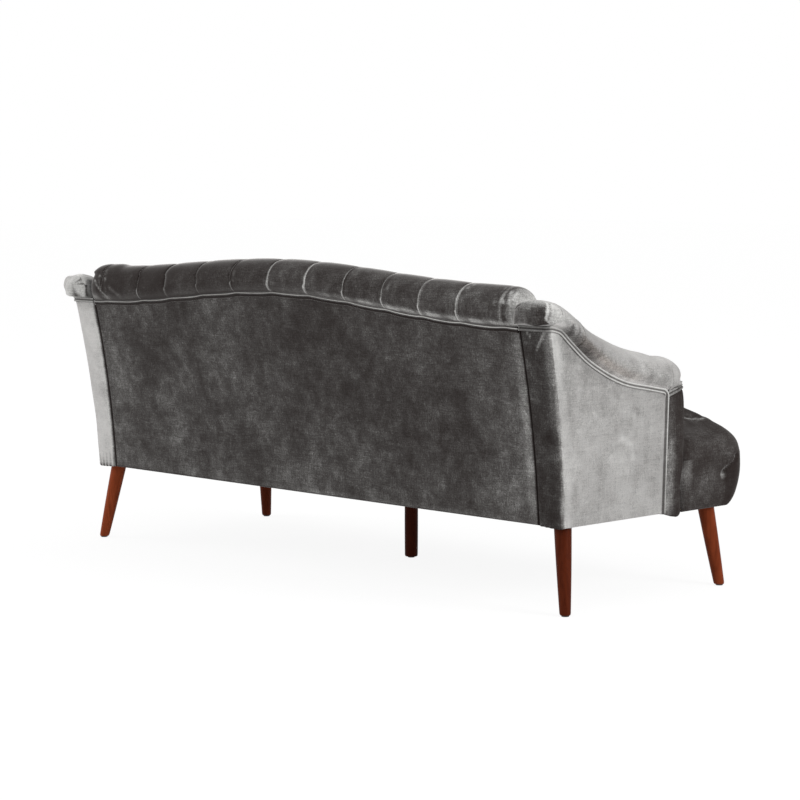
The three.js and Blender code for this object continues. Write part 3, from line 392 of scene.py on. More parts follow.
def back_face_y(z):
    share = (z - FRAME_BOTTOM) / SKIN_HEIGHT
    return BACK_FOOT_Y + BACK_LEAN * share + BACK_HOLLOW * share * share


def side_face_x(z):
    return SIDE_FOOT_X + SIDE_FLARE * (z - FRAME_BOTTOM) / SKIN_HEIGHT


def camel_share(x):
    return (1 + np.cos(np.pi * clamp01(np.abs(x) / BACK_SEAM_X))) / 2


def back_welt_z(x):
    return WELT_END_HEIGHT + WELT_RISE * camel_share(x) - WELT_SAG * hill(x - WELT_SAG_X, WELT_SAG_WIDTH)


def back_roll_z(x):
    sag = ROLL_SAG * hill(x - WELT_SAG_X, WELT_SAG_WIDTH)
    lift = ROLL_LIFT * ramp(x, ROLL_LIFT_X, BACK_END_LENGTH)
    return ROLL_END_HEIGHT + ROLL_RISE * camel_share(x) - (sag - lift)


def arm_welt_z(y):
    share = (y - ARM_WELT_START_Y) / (ARM_WELT_END_Y - ARM_WELT_START_Y)
    first = ARM_WELT_SHARES[1]
    forward = np.minimum(0, share) * first[1] / first[0]
    return ARM_WELT_LOW + ARM_WELT_RISE * (along_shares(ARM_WELT_SHARES, share) + forward)


def arm_ridge_z(y):
    share = (y - ARM_RIDGE_START_Y) / (ARM_RIDGE_END_Y - ARM_RIDGE_START_Y)
    return ARM_RIDGE_LOW + ARM_RIDGE_RISE * along_shares(ARM_RIDGE_SHARES, share)


def arm_shift(y):
    """Share of the way by which the inside of an arm moves out as it meets the back."""
    return ramp(y, ARM_SHIFT_START_Y, ARM_SHIFT_END_Y - ARM_SHIFT_START_Y)


def front_pad_top_z(y):
    return arm_welt_z(ARM_WELT_START_Y) + FRONT_PAD_RISE_SHARE * (ARM_WELT_START_Y - y)


PLEAT_XS = np.array([
    ((PLEAT_COUNT - 1) / 2 - index + shift) * PLEAT_PITCH for index, shift in enumerate(PLEAT_SHIFT_SHARES)
])


# Materials

def feed(tree, made, values):
    """Links or sets the inputs of a node."""
    for key, value in values.items():
        if isinstance(value, bpy.types.NodeSocket):
            tree.links.new(value, made.inputs[key])
        else:
            made.inputs[key].default_value = value


def node(tree, kind, values, **settings):
    made = tree.nodes.new(kind)
    for key, value in settings.items():
        setattr(made, key, value)
    feed(tree, made, values)
    return made


def maths(tree, operation, a, b, clamp=False):
    return node(tree, "ShaderNodeMath", {0: a, 1: b}, operation=operation, use_clamp=clamp).outputs[0]


def vectors(tree, operation, values):
    return node(tree, "ShaderNodeVectorMath", values, operation=operation).outputs[0]


def attribute(tree, name, output="Fac"):
    return node(tree, "ShaderNodeAttribute", {}, attribute_name=name).outputs[output]


def blend(tree, share, start, end, kind="MIX"):
    values = {"Factor": share, 6: start, 7: end}
    return node(tree, "ShaderNodeMix", values, data_type="RGBA", blend_type=kind).outputs[2]


def noise_node(tree, scale, detail, roughness=0.6, distortion=0.0, stretch=(1, 1, 1)):
    coordinates = node(tree, "ShaderNodeTexCoord", {}).outputs["Object"]
    place = node(tree, "ShaderNodeMapping", {"Vector": coordinates, "Scale": stretch}).outputs[0]
    return node(tree, "ShaderNodeTexNoise", {
        "Vector": place, "Scale": scale, "Detail": detail, "Roughness": roughness, "Distortion": distortion,
    }).outputs["Fac"]


def bump(tree, height, strength, distance, **more):
    return node(
        tree, "ShaderNodeBump", {"Height": height, "Strength": strength, "Distance": distance, **more}
    ).outputs[0]


def new_material(name):
    material = bpy.data.materials.new(name)
    material.use_nodes = True
    tree = material.node_tree
    tree.nodes.clear()
    shader = node(tree, "ShaderNodeBsdfPrincipled", {})
    output = node(tree, "ShaderNodeOutputMaterial", {0: shader.outputs[0]})
    return material, tree, shader, output


PILE_DARK = (0.011, 0.0062, 0.0052, 1)
PILE_LIGHT = (0.62, 0.617, 0.600, 1)
# Brown tint of the painted shade under the arm rolls
PILE_SHADE_WARMTH = (0.93, 0.78, 0.68, 1)
PILE_SHEEN = (1.0, 0.975, 0.955, 1)
PILE_SPREAD = 2.718


def velvet(name, mottle=1.0):
    """Crushed velvet: its pile leans along the piece, brushed more or less in patches, and shines side on."""
    material, tree, shader, _ = new_material(name)
    tone, lean, warm = attribute(tree, "tone"), attribute(tree, "nap", "Vector"), attribute(tree, "warm")
    clouds = noise_node(tree, 7.0, 5.0, distortion=0.4)
    wisps = noise_node(tree, 27.0, 5.0, 0.62, distortion=0.4)
    grain = noise_node(tree, 330.0, 2.0)
    warp = noise_node(tree, 30.0, 3.0, stretch=(1.0, 1.0, 14.0))
    weft = noise_node(tree, 30.0, 3.0, stretch=(14.0, 14.0, 1.0))
    steadier = maths(tree, "SUBTRACT", 1.1, tone)

    def summed(parts, least):
        """Noises about zero added up, weaker where the tone is light."""
        total = 0.0
        for part, weight in parts:
            term = maths(tree, "MULTIPLY", maths(tree, "SUBTRACT", part, 0.5), weight * mottle)
            total = maths(tree, "ADD", total, term)
        return maths(tree, "MULTIPLY", total, maths(tree, "MAXIMUM", steadier, least))

    threads = summed([(grain, 3.0), (warp, 1.7), (weft, 1.7)], 0.3)
    uneven = maths(tree, "ADD", summed([(clouds, 2.8), (wisps, 2.8)], 0.45), threads)
    share = maths(tree, "MULTIPLY", tone, maths(tree, "POWER", PILE_SPREAD, uneven), clamp=True)
    # The base colour follows the tone, with its painted light, shade and sheen, and is tinted brown where
    # painted shade lies under the arm rolls.
    colour = blend(tree, warm, blend(tree, share, PILE_DARK, PILE_LIGHT), PILE_SHADE_WARMTH, "MULTIPLY")
    brushed = maths(tree, "ADD", 0.75, maths(tree, "MULTIPLY", uneven, 0.2))
    leaning = vectors(tree, "SCALE", {0: lean, "Scale": brushed})
    upright = node(tree, "ShaderNodeNewGeometry", {}).outputs["Normal"]
    pile = vectors(tree, "NORMALIZE", {0: vectors(tree, "ADD", {0: upright, 1: leaning})})
    height = maths(tree, "ADD", maths(tree, "MULTIPLY", wisps, 0.6), maths(tree, "MULTIPLY", grain, 0.3))
    feed(tree, shader, {
        "Base Color": colour, "Roughness": 0.85, "Specular IOR Level": 0.12, "Sheen Weight": 0.8,
        "Sheen Roughness": 0.3, "Sheen Tint": PILE_SHEEN,
        "Normal": bump(tree, height, 0.35, 0.002, Normal=pile),
    })
    return material


def grained(name, dark, light, scale, roughness=0.9, metallic=0.0):
    """Felt, cambric, webbing, nylon or steel: one hue with fine grain."""
    material, tree, shader, _ = new_material(name)
    grain = noise_node(tree, scale, 4.0)
    feed(tree, shader, {
        "Base Color": blend(tree, grain, dark, light), "Roughness": roughness, "Metallic": metallic,
        "Normal": bump(tree, grain, 0.2, 0.0005),
    })
    return material


def wood(name, dark, light, roughness, gloss=0.5, painted_per_leg=False):
    """Wood with its grain along +Z, darker or lighter by each leg's painted light and shade."""
    material, tree, shader, _ = new_material(name)
    grain = noise_node(tree, 1.0, 6.0, distortion=1.5, stretch=(60, 60, 6))
    painted_leg_light = attribute(tree, "tone") if painted_per_leg else 0.5
    share = maths(tree, "MULTIPLY", maths(tree, "MULTIPLY", grain, 2.0), painted_leg_light, clamp=True)
    feed(tree, shader, {
        "Base Color": blend(tree, share, dark, light), "Roughness": roughness, "Specular IOR Level": gloss,
        "Normal": bump(tree, grain, 0.08, 0.001),
    })
    return material


STEEL = grained("zinc_steel", (0.42, 0.43, 0.44, 1), (0.56, 0.57, 0.58, 1), 300.0, 0.38, metallic=1.0)
SLOT_MATERIALS = {
    "velvet": velvet("velvet"),
    "piping": velvet("velvet_piping", mottle=0.4),
    "leg_wood": wood("walnut_leg", (0.022, 0.0020, 0.0002, 1), (0.275, 0.056, 0.0190, 1), 0.34, 0.035, True),
    "frame_timber": wood("frame_timber", (0.45, 0.30, 0.15, 1), (0.62, 0.45, 0.26, 1), 0.75),
    "zinc_steel": STEEL,
    "spring_steel": STEEL,
    "felt": grained("felt", (0.20, 0.19, 0.18, 1), (0.34, 0.33, 0.31, 1), 400.0),
    "jute_webbing": grained("jute_webbing", (0.25, 0.17, 0.08, 1), (0.42, 0.31, 0.17, 1), 600.0),
    "cambric": grained("cambric", (0.008, 0.008, 0.008, 1), (0.022, 0.021, 0.021, 1), 700.0),
    "glide_nylon": grained("glide_nylon", (0.016, 0.014, 0.013, 1), (0.03, 0.027, 0.025, 1), 500.0, 0.5),
}


# Meshes

def mesh_object(name, points, faces, **fields):
    """A smooth mesh in the frame's place, with its faces turned outward and its fields kept on its points."""
    points = np.array(points, float)
    triangles = np.array([(f[0], f[k], f[k + 1]) for f in faces for k in range(1, len(f) - 1)])
    a, b, c = (points[triangles[:, k]] for k in range(3))
    if np.einsum("ij,ij->", a, np.cross(b, c)) < 0:
        faces = [tuple(reversed(f)) for f in faces]
    points[:, 1] += FEET_MIDDLE_Y
    mesh = bpy.data.meshes.new(name)
    mesh.from_pydata(points.tolist(), [], [tuple(int(i) for i in f) for f in faces])
    mesh.polygons.foreach_set("use_smooth", [True] * len(mesh.polygons))
    for field, values in fields.items():
        values = np.asarray(values, np.float32).reshape(len(points), -1)
        kind, key = ("FLOAT_VECTOR", "vector") if values.shape[1] == 3 else ("FLOAT", "value")
        mesh.attributes.new(field, kind, "POINT").data.foreach_set(key, values.ravel())
    mesh.update()
    made = bpy.data.objects.new(name, mesh)
    bpy.context.scene.collection.objects.link(made)
    return made


def grid_faces(rows, columns, offset=0, wrap=False):
    faces = []
    for row in range(rows - 1):
        for column in range(columns if wrap else columns - 1):
            a = offset + row * columns + column
            b = offset + row * columns + (column + 1) % columns
            faces.append((a, b, b + columns, a + columns))
    return faces


def grid_rim(rows, columns):
    """Row and column of each point once round the rim of a grid."""
    ahead = [(0, column) for column in range(columns - 1)] + [(row, columns - 1) for row in range(rows - 1)]
    return np.array(ahead + [(rows - 1 - row, columns - 1 - column) for row, column in ahead])


def slab(name, outer, inner, **fields):
    """A closed sheet between two grids of points."""
    rows, columns = outer.shape[:2]
    size = rows * columns
    faces = grid_faces(rows, columns)
    faces += [tuple(reversed(f)) for f in grid_faces(rows, columns, size)]
    rim = grid_rim(rows, columns) @ [columns, 1]
    faces += [(b, a, a + size, b + size) for a, b in zip(rim, np.roll(rim, -1))]
    twice = {field: np.concatenate([values.reshape(size, -1)] * 2) for field, values in fields.items()}
    return mesh_object(name, np.concatenate([outer.reshape(-1, 3), inner.reshape(-1, 3)]), faces, **twice)


def loft(name, loops, **fields):
    """A closed skin through loops of equal length, capped by a fan at each end."""
    rows, columns = loops.shape[:2]
    faces = grid_faces(rows, columns, wrap=True)
    points = loops.reshape(-1, 3)
    size = rows * columns
    last = size - columns
    for column in range(columns):
        following = (column + 1) % columns
        faces += [(size, following, column), (size + 1, last + column, last + following)]
    points = np.concatenate([points, [points[:columns].mean(0), points[last:].mean(0)]])
    for field, values in fields.items():
        flat = values.reshape(size, -1)
        fields[field] = np.concatenate([flat, flat[:1], flat[-1:]])
    return mesh_object(name, points, faces, **fields)


def grid_normals(points):
    """Unit normals of a grid of points."""
    normal = np.cross(np.gradient(points, axis=1), np.gradient(points, axis=0))
    return normal / np.maximum(np.linalg.norm(normal, axis=2, keepdims=True), 1e-12)


def in_place(piece, node_name, slot):
    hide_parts(node_name)
    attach(piece, "root")
    piece.data.materials.append(SLOT_MATERIALS[slot])


def hand(side):
    return "left" if side < 0 else "right"


# Outside covers

def back_panel():
    """The flat outside back, tucked under at its seams."""
    seam = BACK_SEAM_X - HAIRLINE
    xs = places(-seam, seam, 0.012, (-seam, seam), 0.008, 0.0008)
    shares = places(0.0, 1.0, 0.018, (0.0, 1.0), 0.012, 0.002)
    top = back_welt_z(xs) + WELT_RADIUS
    z = mix(HEM, top, shares[:, None])
    x = np.broadcast_to(xs, z.shape)
    points = np.stack([x, back_face_y(z), z], axis=2)
    inner = points - [0, COVER_THICKNESS, 0]
    edge = np.minimum(seam - np.abs(x), z - HEM)
    waves = 0.0009 * noise(points, 21.0, 1.3) + 0.0005 * noise(points, 70.0, 4.1)
    gathers = 0.0010 * np.sin(x * 310 + 2 * np.sin(x * 37)) * hill(z - top, 0.03)
    points[..., 1] += (waves + gathers) * smooth(edge / 0.02) - seam_tuck(edge)
    # Tones: the pile's mottling and patches, lighter towards the bottom, a light line along the hem, a
    # lighter band beside the near seam, and painted shade drawn into the seams.
    tone = 0.071 + 0.014 * noise(points, 7.0, 2.2) + 0.012 * noise(points, 19.0, 0.4)
    tone += 0.026 * ramp(z, 0.36, -0.12) + patches(x, z, BACK_PATCHES) + 0.05 * hill(z - HEM - 0.006, 0.005)
    tone += 0.21 * hill(seam + x - 0.014, 0.013) * (0.35 + 0.65 * ramp(z, 0.56, -0.15)) * ramp(z, 0.22, 0.05)
    tone *= 0.02 + 0.98 * smooth((edge - 0.001) / mix(0.004, 0.007, smooth(x / 0.4)))
    nap = np.broadcast_to([-0.2, 0.0, -0.3], points.shape)
    in_place(slab("back_panel_velvet", points, inner, tone=tone, nap=nap), "outside_back_panel", "velvet")


def cover_grid():
    """Points of an arm's cover: along the side, round the rear corner and across the strip, hem to welt."""
    corner_start = back_face_y(ARM_WELT_TOP) - CORNER_RADIUS
    ys = places(SIDE_EDGE_Y, corner_start, 0.010, (SIDE_EDGE_Y,), 0.006, 0.001)
    angles = np.linspace(0, QUARTER, 15)[1:]
    strips = places(0.0, 1.0, 0.035, (1.0,), 0.08, 0.02)[1:]
    shares = places(0.0, 1.0, 0.016, (0.0, 1.0), 0.01, 0.002)
    bottom_y = back_face_y(HEM)
    columns = []
    for kind, values in (("side", ys), ("corner", angles), ("strip", strips)):
        for value in values:
            turn = 0.0 if kind == "side" else 1.0 if kind == "strip" else value / QUARTER
            sag = CORNER_SAG * smooth(turn) * (1 - value if kind == "strip" else 1.0)
            top = float(arm_welt_z(value)) if kind == "side" else ARM_WELT_TOP
            z = mix(HEM - sag, top + WELT_RADIUS, shares)
            x, y = side_face_x(z), back_face_y(z)
            if kind == "side":
                share = (value - SIDE_EDGE_Y) / (corner_start - SIDE_EDGE_Y)
                start = mix(SIDE_EDGE_Y, bottom_y - CORNER_RADIUS, share)
                y = mix(start, value, clamp01((y - bottom_y) / (back_face_y(top) - bottom_y)))
            elif kind == "corner":
                x = x - CORNER_RADIUS * (1 - math.cos(value))
                y = y - CORNER_RADIUS * (1 - math.sin(value))
            else:
                x = mix(x - CORNER_RADIUS, BACK_SEAM_X + HAIRLINE, value)
            columns.append(np.stack([x, y, z], axis=1))
    return np.stack(columns, axis=1)


def arm_cover(side):
    """Outside of an arm: the side, the rounded rear corner and the strip up to the back panel."""
    near = side < 0
    seam = BACK_SEAM_X + HAIRLINE
    points = cover_grid()
    normals = grid_normals(points)
    if normals[len(points) // 2, 3, 0] < 0:
        normals = -normals
    inner = points - normals * COVER_THICKNESS
    x, y, z = points[..., 0], points[..., 1], points[..., 2]
    edge = np.minimum(np.where(y > 0.3, x - seam, 1.0), np.minimum(y - SIDE_EDGE_Y, z - HEM + CORNER_SAG))
    on_strip = ramp(y, back_face_y(z) - CORNER_RADIUS, CORNER_RADIUS)
    puff = 0.0022 * on_strip * np.sin(np.pi * clamp01((x - seam) / (SIDE_FOOT_X - seam)))
    waves = 0.0008 * noise(points, 26.0, 0.7 + side) + 0.0006 * noise(points * [1, 1, 0.3], 90.0, 2.9)
    pull = hill((z - 0.6725) - (x - 0.8775) * 1.39, 0.0042) * ramp(z, 0.622, 0.02) * ramp(z, 0.682, -0.008)
    crossing = hill((z - 0.672) + (x - 0.824) * 1.1, 0.0034) * ramp(z, 0.655, 0.008) * ramp(z, 0.683, -0.008)
    pull = (pull + 0.7 * crossing) * on_strip
    hem_pucker = 0.0014 * np.sin(x * 420) * on_strip * hill(z - HEM, 0.03)
    lift = puff + waves * smooth(edge / 0.015) + 0.0018 * pull + hem_pucker - seam_tuck(edge)
    points += normals * lift[..., None]
    # Tones: the side painted light where the key lamp and the pile's sheen fall on it, with the pile's own
    # patches and brushed marks.
    flank_tone = 0.425 + 0.04 * noise(points, 12.0, 3.3) + 0.04 * noise(points * [1, 1, 0.5], 34.0, 1.4)
    flank_tone += 0.05 * ramp(z, 0.30, -0.1)
    flank_tone += 1.3 * patches(y, z, SIDE_PATCHES, 0.12) * (0.7 + 0.7 * noise(points, 70.0, 2.0))
    flank_tone += 1.5 * strokes(y, z, SIDE_MARKS, 1.6) * (0.7 + 0.9 * noise(points, 90.0, 3.0))
    ragged = 0.0035 * noise(points, 40.0, 5.5) + 0.0020 * noise(points, 110.0, 2.5)
    inward = np.where(on_strip > 0.5, side_face_x(z) - x, CORNER_RADIUS * (on_strip - 0.5))
    # The near strip painted dark and the far strip light: painted shade and sheen of the pile.
    if near:
        strip_tone = 0.052 + 0.012 * noise(points, 30.0, 4.0)
        strip_tone += (0.04 + 0.11 * ramp(z, 0.40, 0.12)) * hill(inward - 0.010, 0.011)
    else:
        strip_tone = 0.74 + 0.04 * noise(points, 14.0, 4.0)
    tone = mix(flank_tone, strip_tone, smooth((inward + ragged + 0.002) / 0.010))
    if near:
        # Painted sheen in a band beside the near corner, painted highlight on the pull creases and painted
        # shade in the seams.
        rim = hill(y - (back_face_y(z) - CORNER_RADIUS - 0.008), 0.014)
        tone += (0.26 + 0.26 * ramp(z, 0.56, 0.08)) * rim * (1 - ramp(inward, -0.003, 0.004)) + 0.34 * pull
        tone *= 0.15 + 0.85 * ramp(edge, 0.001, 0.005)
    else:
        # Darker bands at two heights, and painted shade in the seams.
        tone -= 0.12 * hill(z - 0.42, 0.05) + 0.10 * hill(z - 0.68, 0.03)
        tone *= 0.02 + 0.98 * ramp(edge, 0.0020, 0.011)
    forward = np.gradient(points, axis=1)
    forward /= -np.linalg.norm(forward, axis=2, keepdims=True)
    flip = [side, 1, 1]
    piece = slab(f"arm_cover_velvet_{hand(side)}", points * flip, inner * flip, tone=tone, nap=forward * flip)
    in_place(piece, f"outside_arm_cover_{hand(side)}", "velvet")


# Arms

def arm_outline(y):
    """The roll's outline at a depth, from the inside of the arm over the top to the welt."""
    line = float(arm_welt_z(max(y, ARM_WELT_START_Y)))
    shift = arm_shift(y)
    front = 1 - quarter_round((y - ARM_ROLL_FRONT_Y) / ARM_FRONT_LENGTH)
    rear = 1 - quarter_round((ARM_ROLL_REAR_Y - y) / ARM_REAR_LENGTH)
    inner = mix(ARM_INSIDE_X, ARM_INSIDE_REAR_X, shift) + ARM_FRONT_DRAW * front + ARM_REAR_DRAW_INSIDE * rear
    swell = ramp(y, ARM_WELT_START_Y, ARM_WELT_END_Y - ARM_WELT_START_Y)
    outer = side_face_x(line) + mix(ARM_OVERHANG_FRONT, ARM_OVERHANG_REAR, swell)
    outer -= ARM_FRONT_DRAW * front + ARM_REAR_DRAW_OUTSIDE * rear
    top = float(arm_ridge_z(y)) - ARM_FRONT_DROP * front - ARM_REAR_DROP * rear
    middle, wide, tall = (inner + outer) / 2, (outer - inner) / 2, top - line
    low = SEAT_UNDER if y > FRONT_PAD_REAR_Y else float(front_pad_top_z(y))
    if y > ARM_POST_Y:
        low = ARM_WELT_TOP + WELT_SEAT
    flank = side_face_x(line) - WELT_SINK
    squaring = ramp(y, ARM_ROLL_REAR_Y - ARM_END_SQUARING, ARM_END_SQUARING)
    shares = mix(np.array(ARM_ROLL_SHARES), np.array(ARM_END_SHARES), squaring)
    shares[-2:, 0] *= 1 - ARM_NOSE_DRAW_SHARE * ramp(y, ARM_ROLL_FRONT_Y + ARM_NOSE_LENGTH, -ARM_NOSE_LENGTH)
    roll = [(middle + wide * across, line + tall * up) for across, up in shares]
    under = (mix(flank, outer, ARM_UNDER_SHARES[0]), line + WELT_SEAT + tall * ARM_UNDER_SHARES[1])
    bottom = line + WELT_SEAT / 2 if y > FRONT_PAD_REAR_Y else low
    if y > back_face_y(ARM_WELT_TOP):
        flank, bottom = flank - ARM_REAR_DRAW_OUTSIDE / 2 * rear, low - HAIRLINE
        under = (mix(flank, outer, ARM_UNDER_SHARES[0]), max(under[1], low + HAIRLINE))
    crown = ARM_CROWN * (1 - shift)
    wall_z = np.linspace(low, roll[0][1], 5)[:-1]
    wall = [(inner - crown * math.sin(math.pi * k / 4), z) for k, z in enumerate(wall_z)]
    outline = smooth_curve([*wall, *roll, under, (flank, bottom)], ARM_OUTLINE_POINTS)
    if y > ARM_POST_Y:
        half = ARM_OUTLINE_POINTS // 2
        outline[:half, 1] = np.maximum(outline[:half, 1], low)
    skin = np.column_stack([outline[:, 0], np.full(len(outline), y), outline[:, 1]])
    return skin, [(ARM_FRAME_X, y, bottom), (ARM_FRAME_X, y, low)]


def arm_roll(side):
    """Inside and roll of an arm, gathered at the rear where it climbs to the back, its rear end faced."""
    near = side < 0
    turn = 1 - np.cos(np.linspace(0, QUARTER, 16))
    rear_end, front_end = ARM_ROLL_REAR_Y - ARM_REAR_LENGTH * turn, ARM_ROLL_FRONT_Y + ARM_FRONT_LENGTH * turn
    between = places(front_end[-1] + 0.003, rear_end[-1] - 0.002, 0.004, ARM_GATHERED_YS, 0.016, 0.0013)
    meet = back_face_y(ARM_WELT_TOP)
    breaks = [at + step for at in (FRONT_PAD_REAR_Y, ARM_POST_Y, meet) for step in (0, HAIRLINE)]
    sections = [arm_outline(y) for y in np.unique(np.concatenate([front_end, between, rear_end, breaks]))]
    skin, inside = (np.array(part) for part in zip(*sections))
    normals = grid_normals(skin)
    if np.einsum("ijk,ijk->", normals, skin - skin.mean(axis=1, keepdims=True)) < 0:
        normals = -normals
    x, y, z = skin[..., 0], skin[..., 1], skin[..., 2]
    line = arm_welt_z(np.maximum(y, ARM_WELT_START_Y))
    above = z - line
    over = ramp(above, 0.006, 0.03)
    outside = ramp(x, 0.84, 0.04)
    rear_fade = ramp(y, ARM_ROLL_REAR_Y, -0.006)

    # Gathers, the faced end's seam and the tuck behind it
    folds = strokes(y, z, GATHERS) * outside * (0.75 + 0.5 * noise(skin, 120.0, 1.0)) * (1 if near else 0.4)
    tuck = hill(y - 0.3755 - 0.10 * (above - 0.04), 0.0020) * outside * ramp(above, 0.030, 0.006)
    tuck *= ramp(above, 0.058, -0.006) * near
    bend = np.clip(above - 0.036, -0.034, 0.04)
    seam_y = meet + 0.0225 - np.where(bend > 0, 9.0 * bend ** 2, 914.0 * np.abs(bend) ** 3)
    faced = outside * over * near
    seam = hill(y - seam_y + 0.0035, 0.0018) * faced
    lip = hill(y - seam_y, 0.0014) * faced + 0.6 * hill(y - seam_y + 0.0075, 0.0016) * faced
    puff = over * (0.0012 * noise(skin, 22.0, 5.0 + side) + 0.0003 * noise(skin, 60.0, 1.0))
    puff -= 0.0009 * folds + 0.0014 * tuck + 0.0016 * seam

    # Tone: painted highlight along the ridge and the climb; painted shade under the roll, in the gathers,
    # tuck and seam, and in a line just above the welt; a painted highlight on the seam's lip
    climbed = above / (arm_ridge_z(y) - line)
    ridge_light = ramp(climbed, 0.62, 0.33)
    under = ramp(above, 0.042, -0.03) * ramp(y, -0.06, 0.08) * ramp(y, 0.315, -0.04)
    skin = skin + normals * (puff * rear_fade)[..., None]
    skin[..., 1] += 0.010 * ramp(y, -0.098, -0.018) * ramp(z, 0.546, -0.018) * outside
    tone = 0.36 + 0.07 * noise(skin, 22.0, 2.0) + 0.07 * noise(skin, 60.0, 0.3) + 0.36 * ridge_light
    tone += 0.36 * ramp(y, 0.30, 0.05) * over * (1 - 0.7 * ridge_light)
    tone -= (0.13 * under + 0.15 * hill(y - 0.275, 0.035) * ramp(above, 0.030, -0.02)) * outside
    tone -= 0.36 * folds + 0.40 * tuck + 0.40 * seam - 0.14 * lip
    tone *= 1 - 0.6 * hill(above - 0.0095, 0.0040) * outside * ramp(y, 0.34, -0.02)
    tone = mix(0.30, tone, ramp(x, 0.775, 0.03))
    if near:
        # Painted shade on the faced rear end, with painted light along its top.
        rear_tone = 0.042 + 0.04 * ramp(above, 0.015, 0.03) + 0.42 * ramp(above, 0.049, 0.016)
        tone = mix(tone, rear_tone, smooth((y - seam_y - 0.0012) / 0.0016))
    else:
        # The far end painted light, with painted shade in its creases.
        wedge = 0.801 + 0.0065 * ramp(z, 0.748, -0.016)
        at_end = ramp(y, 0.385, 0.01)
        shaded = smooth((wedge - x) / 0.003 + 0.5) * at_end
        tone = mix(mix(tone, 0.76 + 0.05 * noise(skin, 40.0, 2.0), at_end), 0.55, shaded)
        creased = strokes(x, z, FAR_END_CREASES) * at_end
        tone = np.maximum(tone - 0.6 * creased, 0.05)
        skin = skin - normals * (0.0004 * creased * rear_fade)[..., None]
        skin[..., 2] += 0.006 * ramp(x, 0.872, -0.03) * ramp(y, 0.33, 0.05) * over
        rear_tone = tone

    # The bulging cap of the rear end
    loops = np.concatenate([skin, inside], axis=1)
    tones = np.concatenate([tone, tone[:, -2:]], axis=1)
    cap_tone = np.append(rear_tone[-1], [0.06, 0.06])
    last, hub = loops[-1], loops[-1].mean(axis=0)
    for share in (0.93, 0.8, 0.6, 0.35, 0.15):
        ring = hub + (last - hub) * share
        ring[:, 1] = ARM_ROLL_REAR_Y + ARM_REAR_BULGE * math.sqrt(1 - share ** 2)
        loops = np.concatenate([loops, [ring]])
        tones = np.concatenate([tones, [mix(cap_tone.mean(), cap_tone, share)]])
    forward = -np.gradient(loops, axis=0)
    forward /= np.maximum(np.linalg.norm(forward, axis=2, keepdims=True), 1e-9)
    forward[-6:] *= 0.4
    # Brown tint for the painted shade under the roll.
    shade = under * outside * ramp(y, 0.0, 0.15)
    warm = np.zeros(tones.shape)
    warm[:len(skin)] = np.concatenate([shade, shade[:, -2:]], axis=1)
    flip = [side, 1, 1]
    name = f"arm_roll_velvet_{hand(side)}"
    piece = loft(name, loops * flip, tone=tones, nap=forward * flip * 0.7, warm=warm)
    in_place(piece, f"arm_pad_{hand(side)}", "velvet")


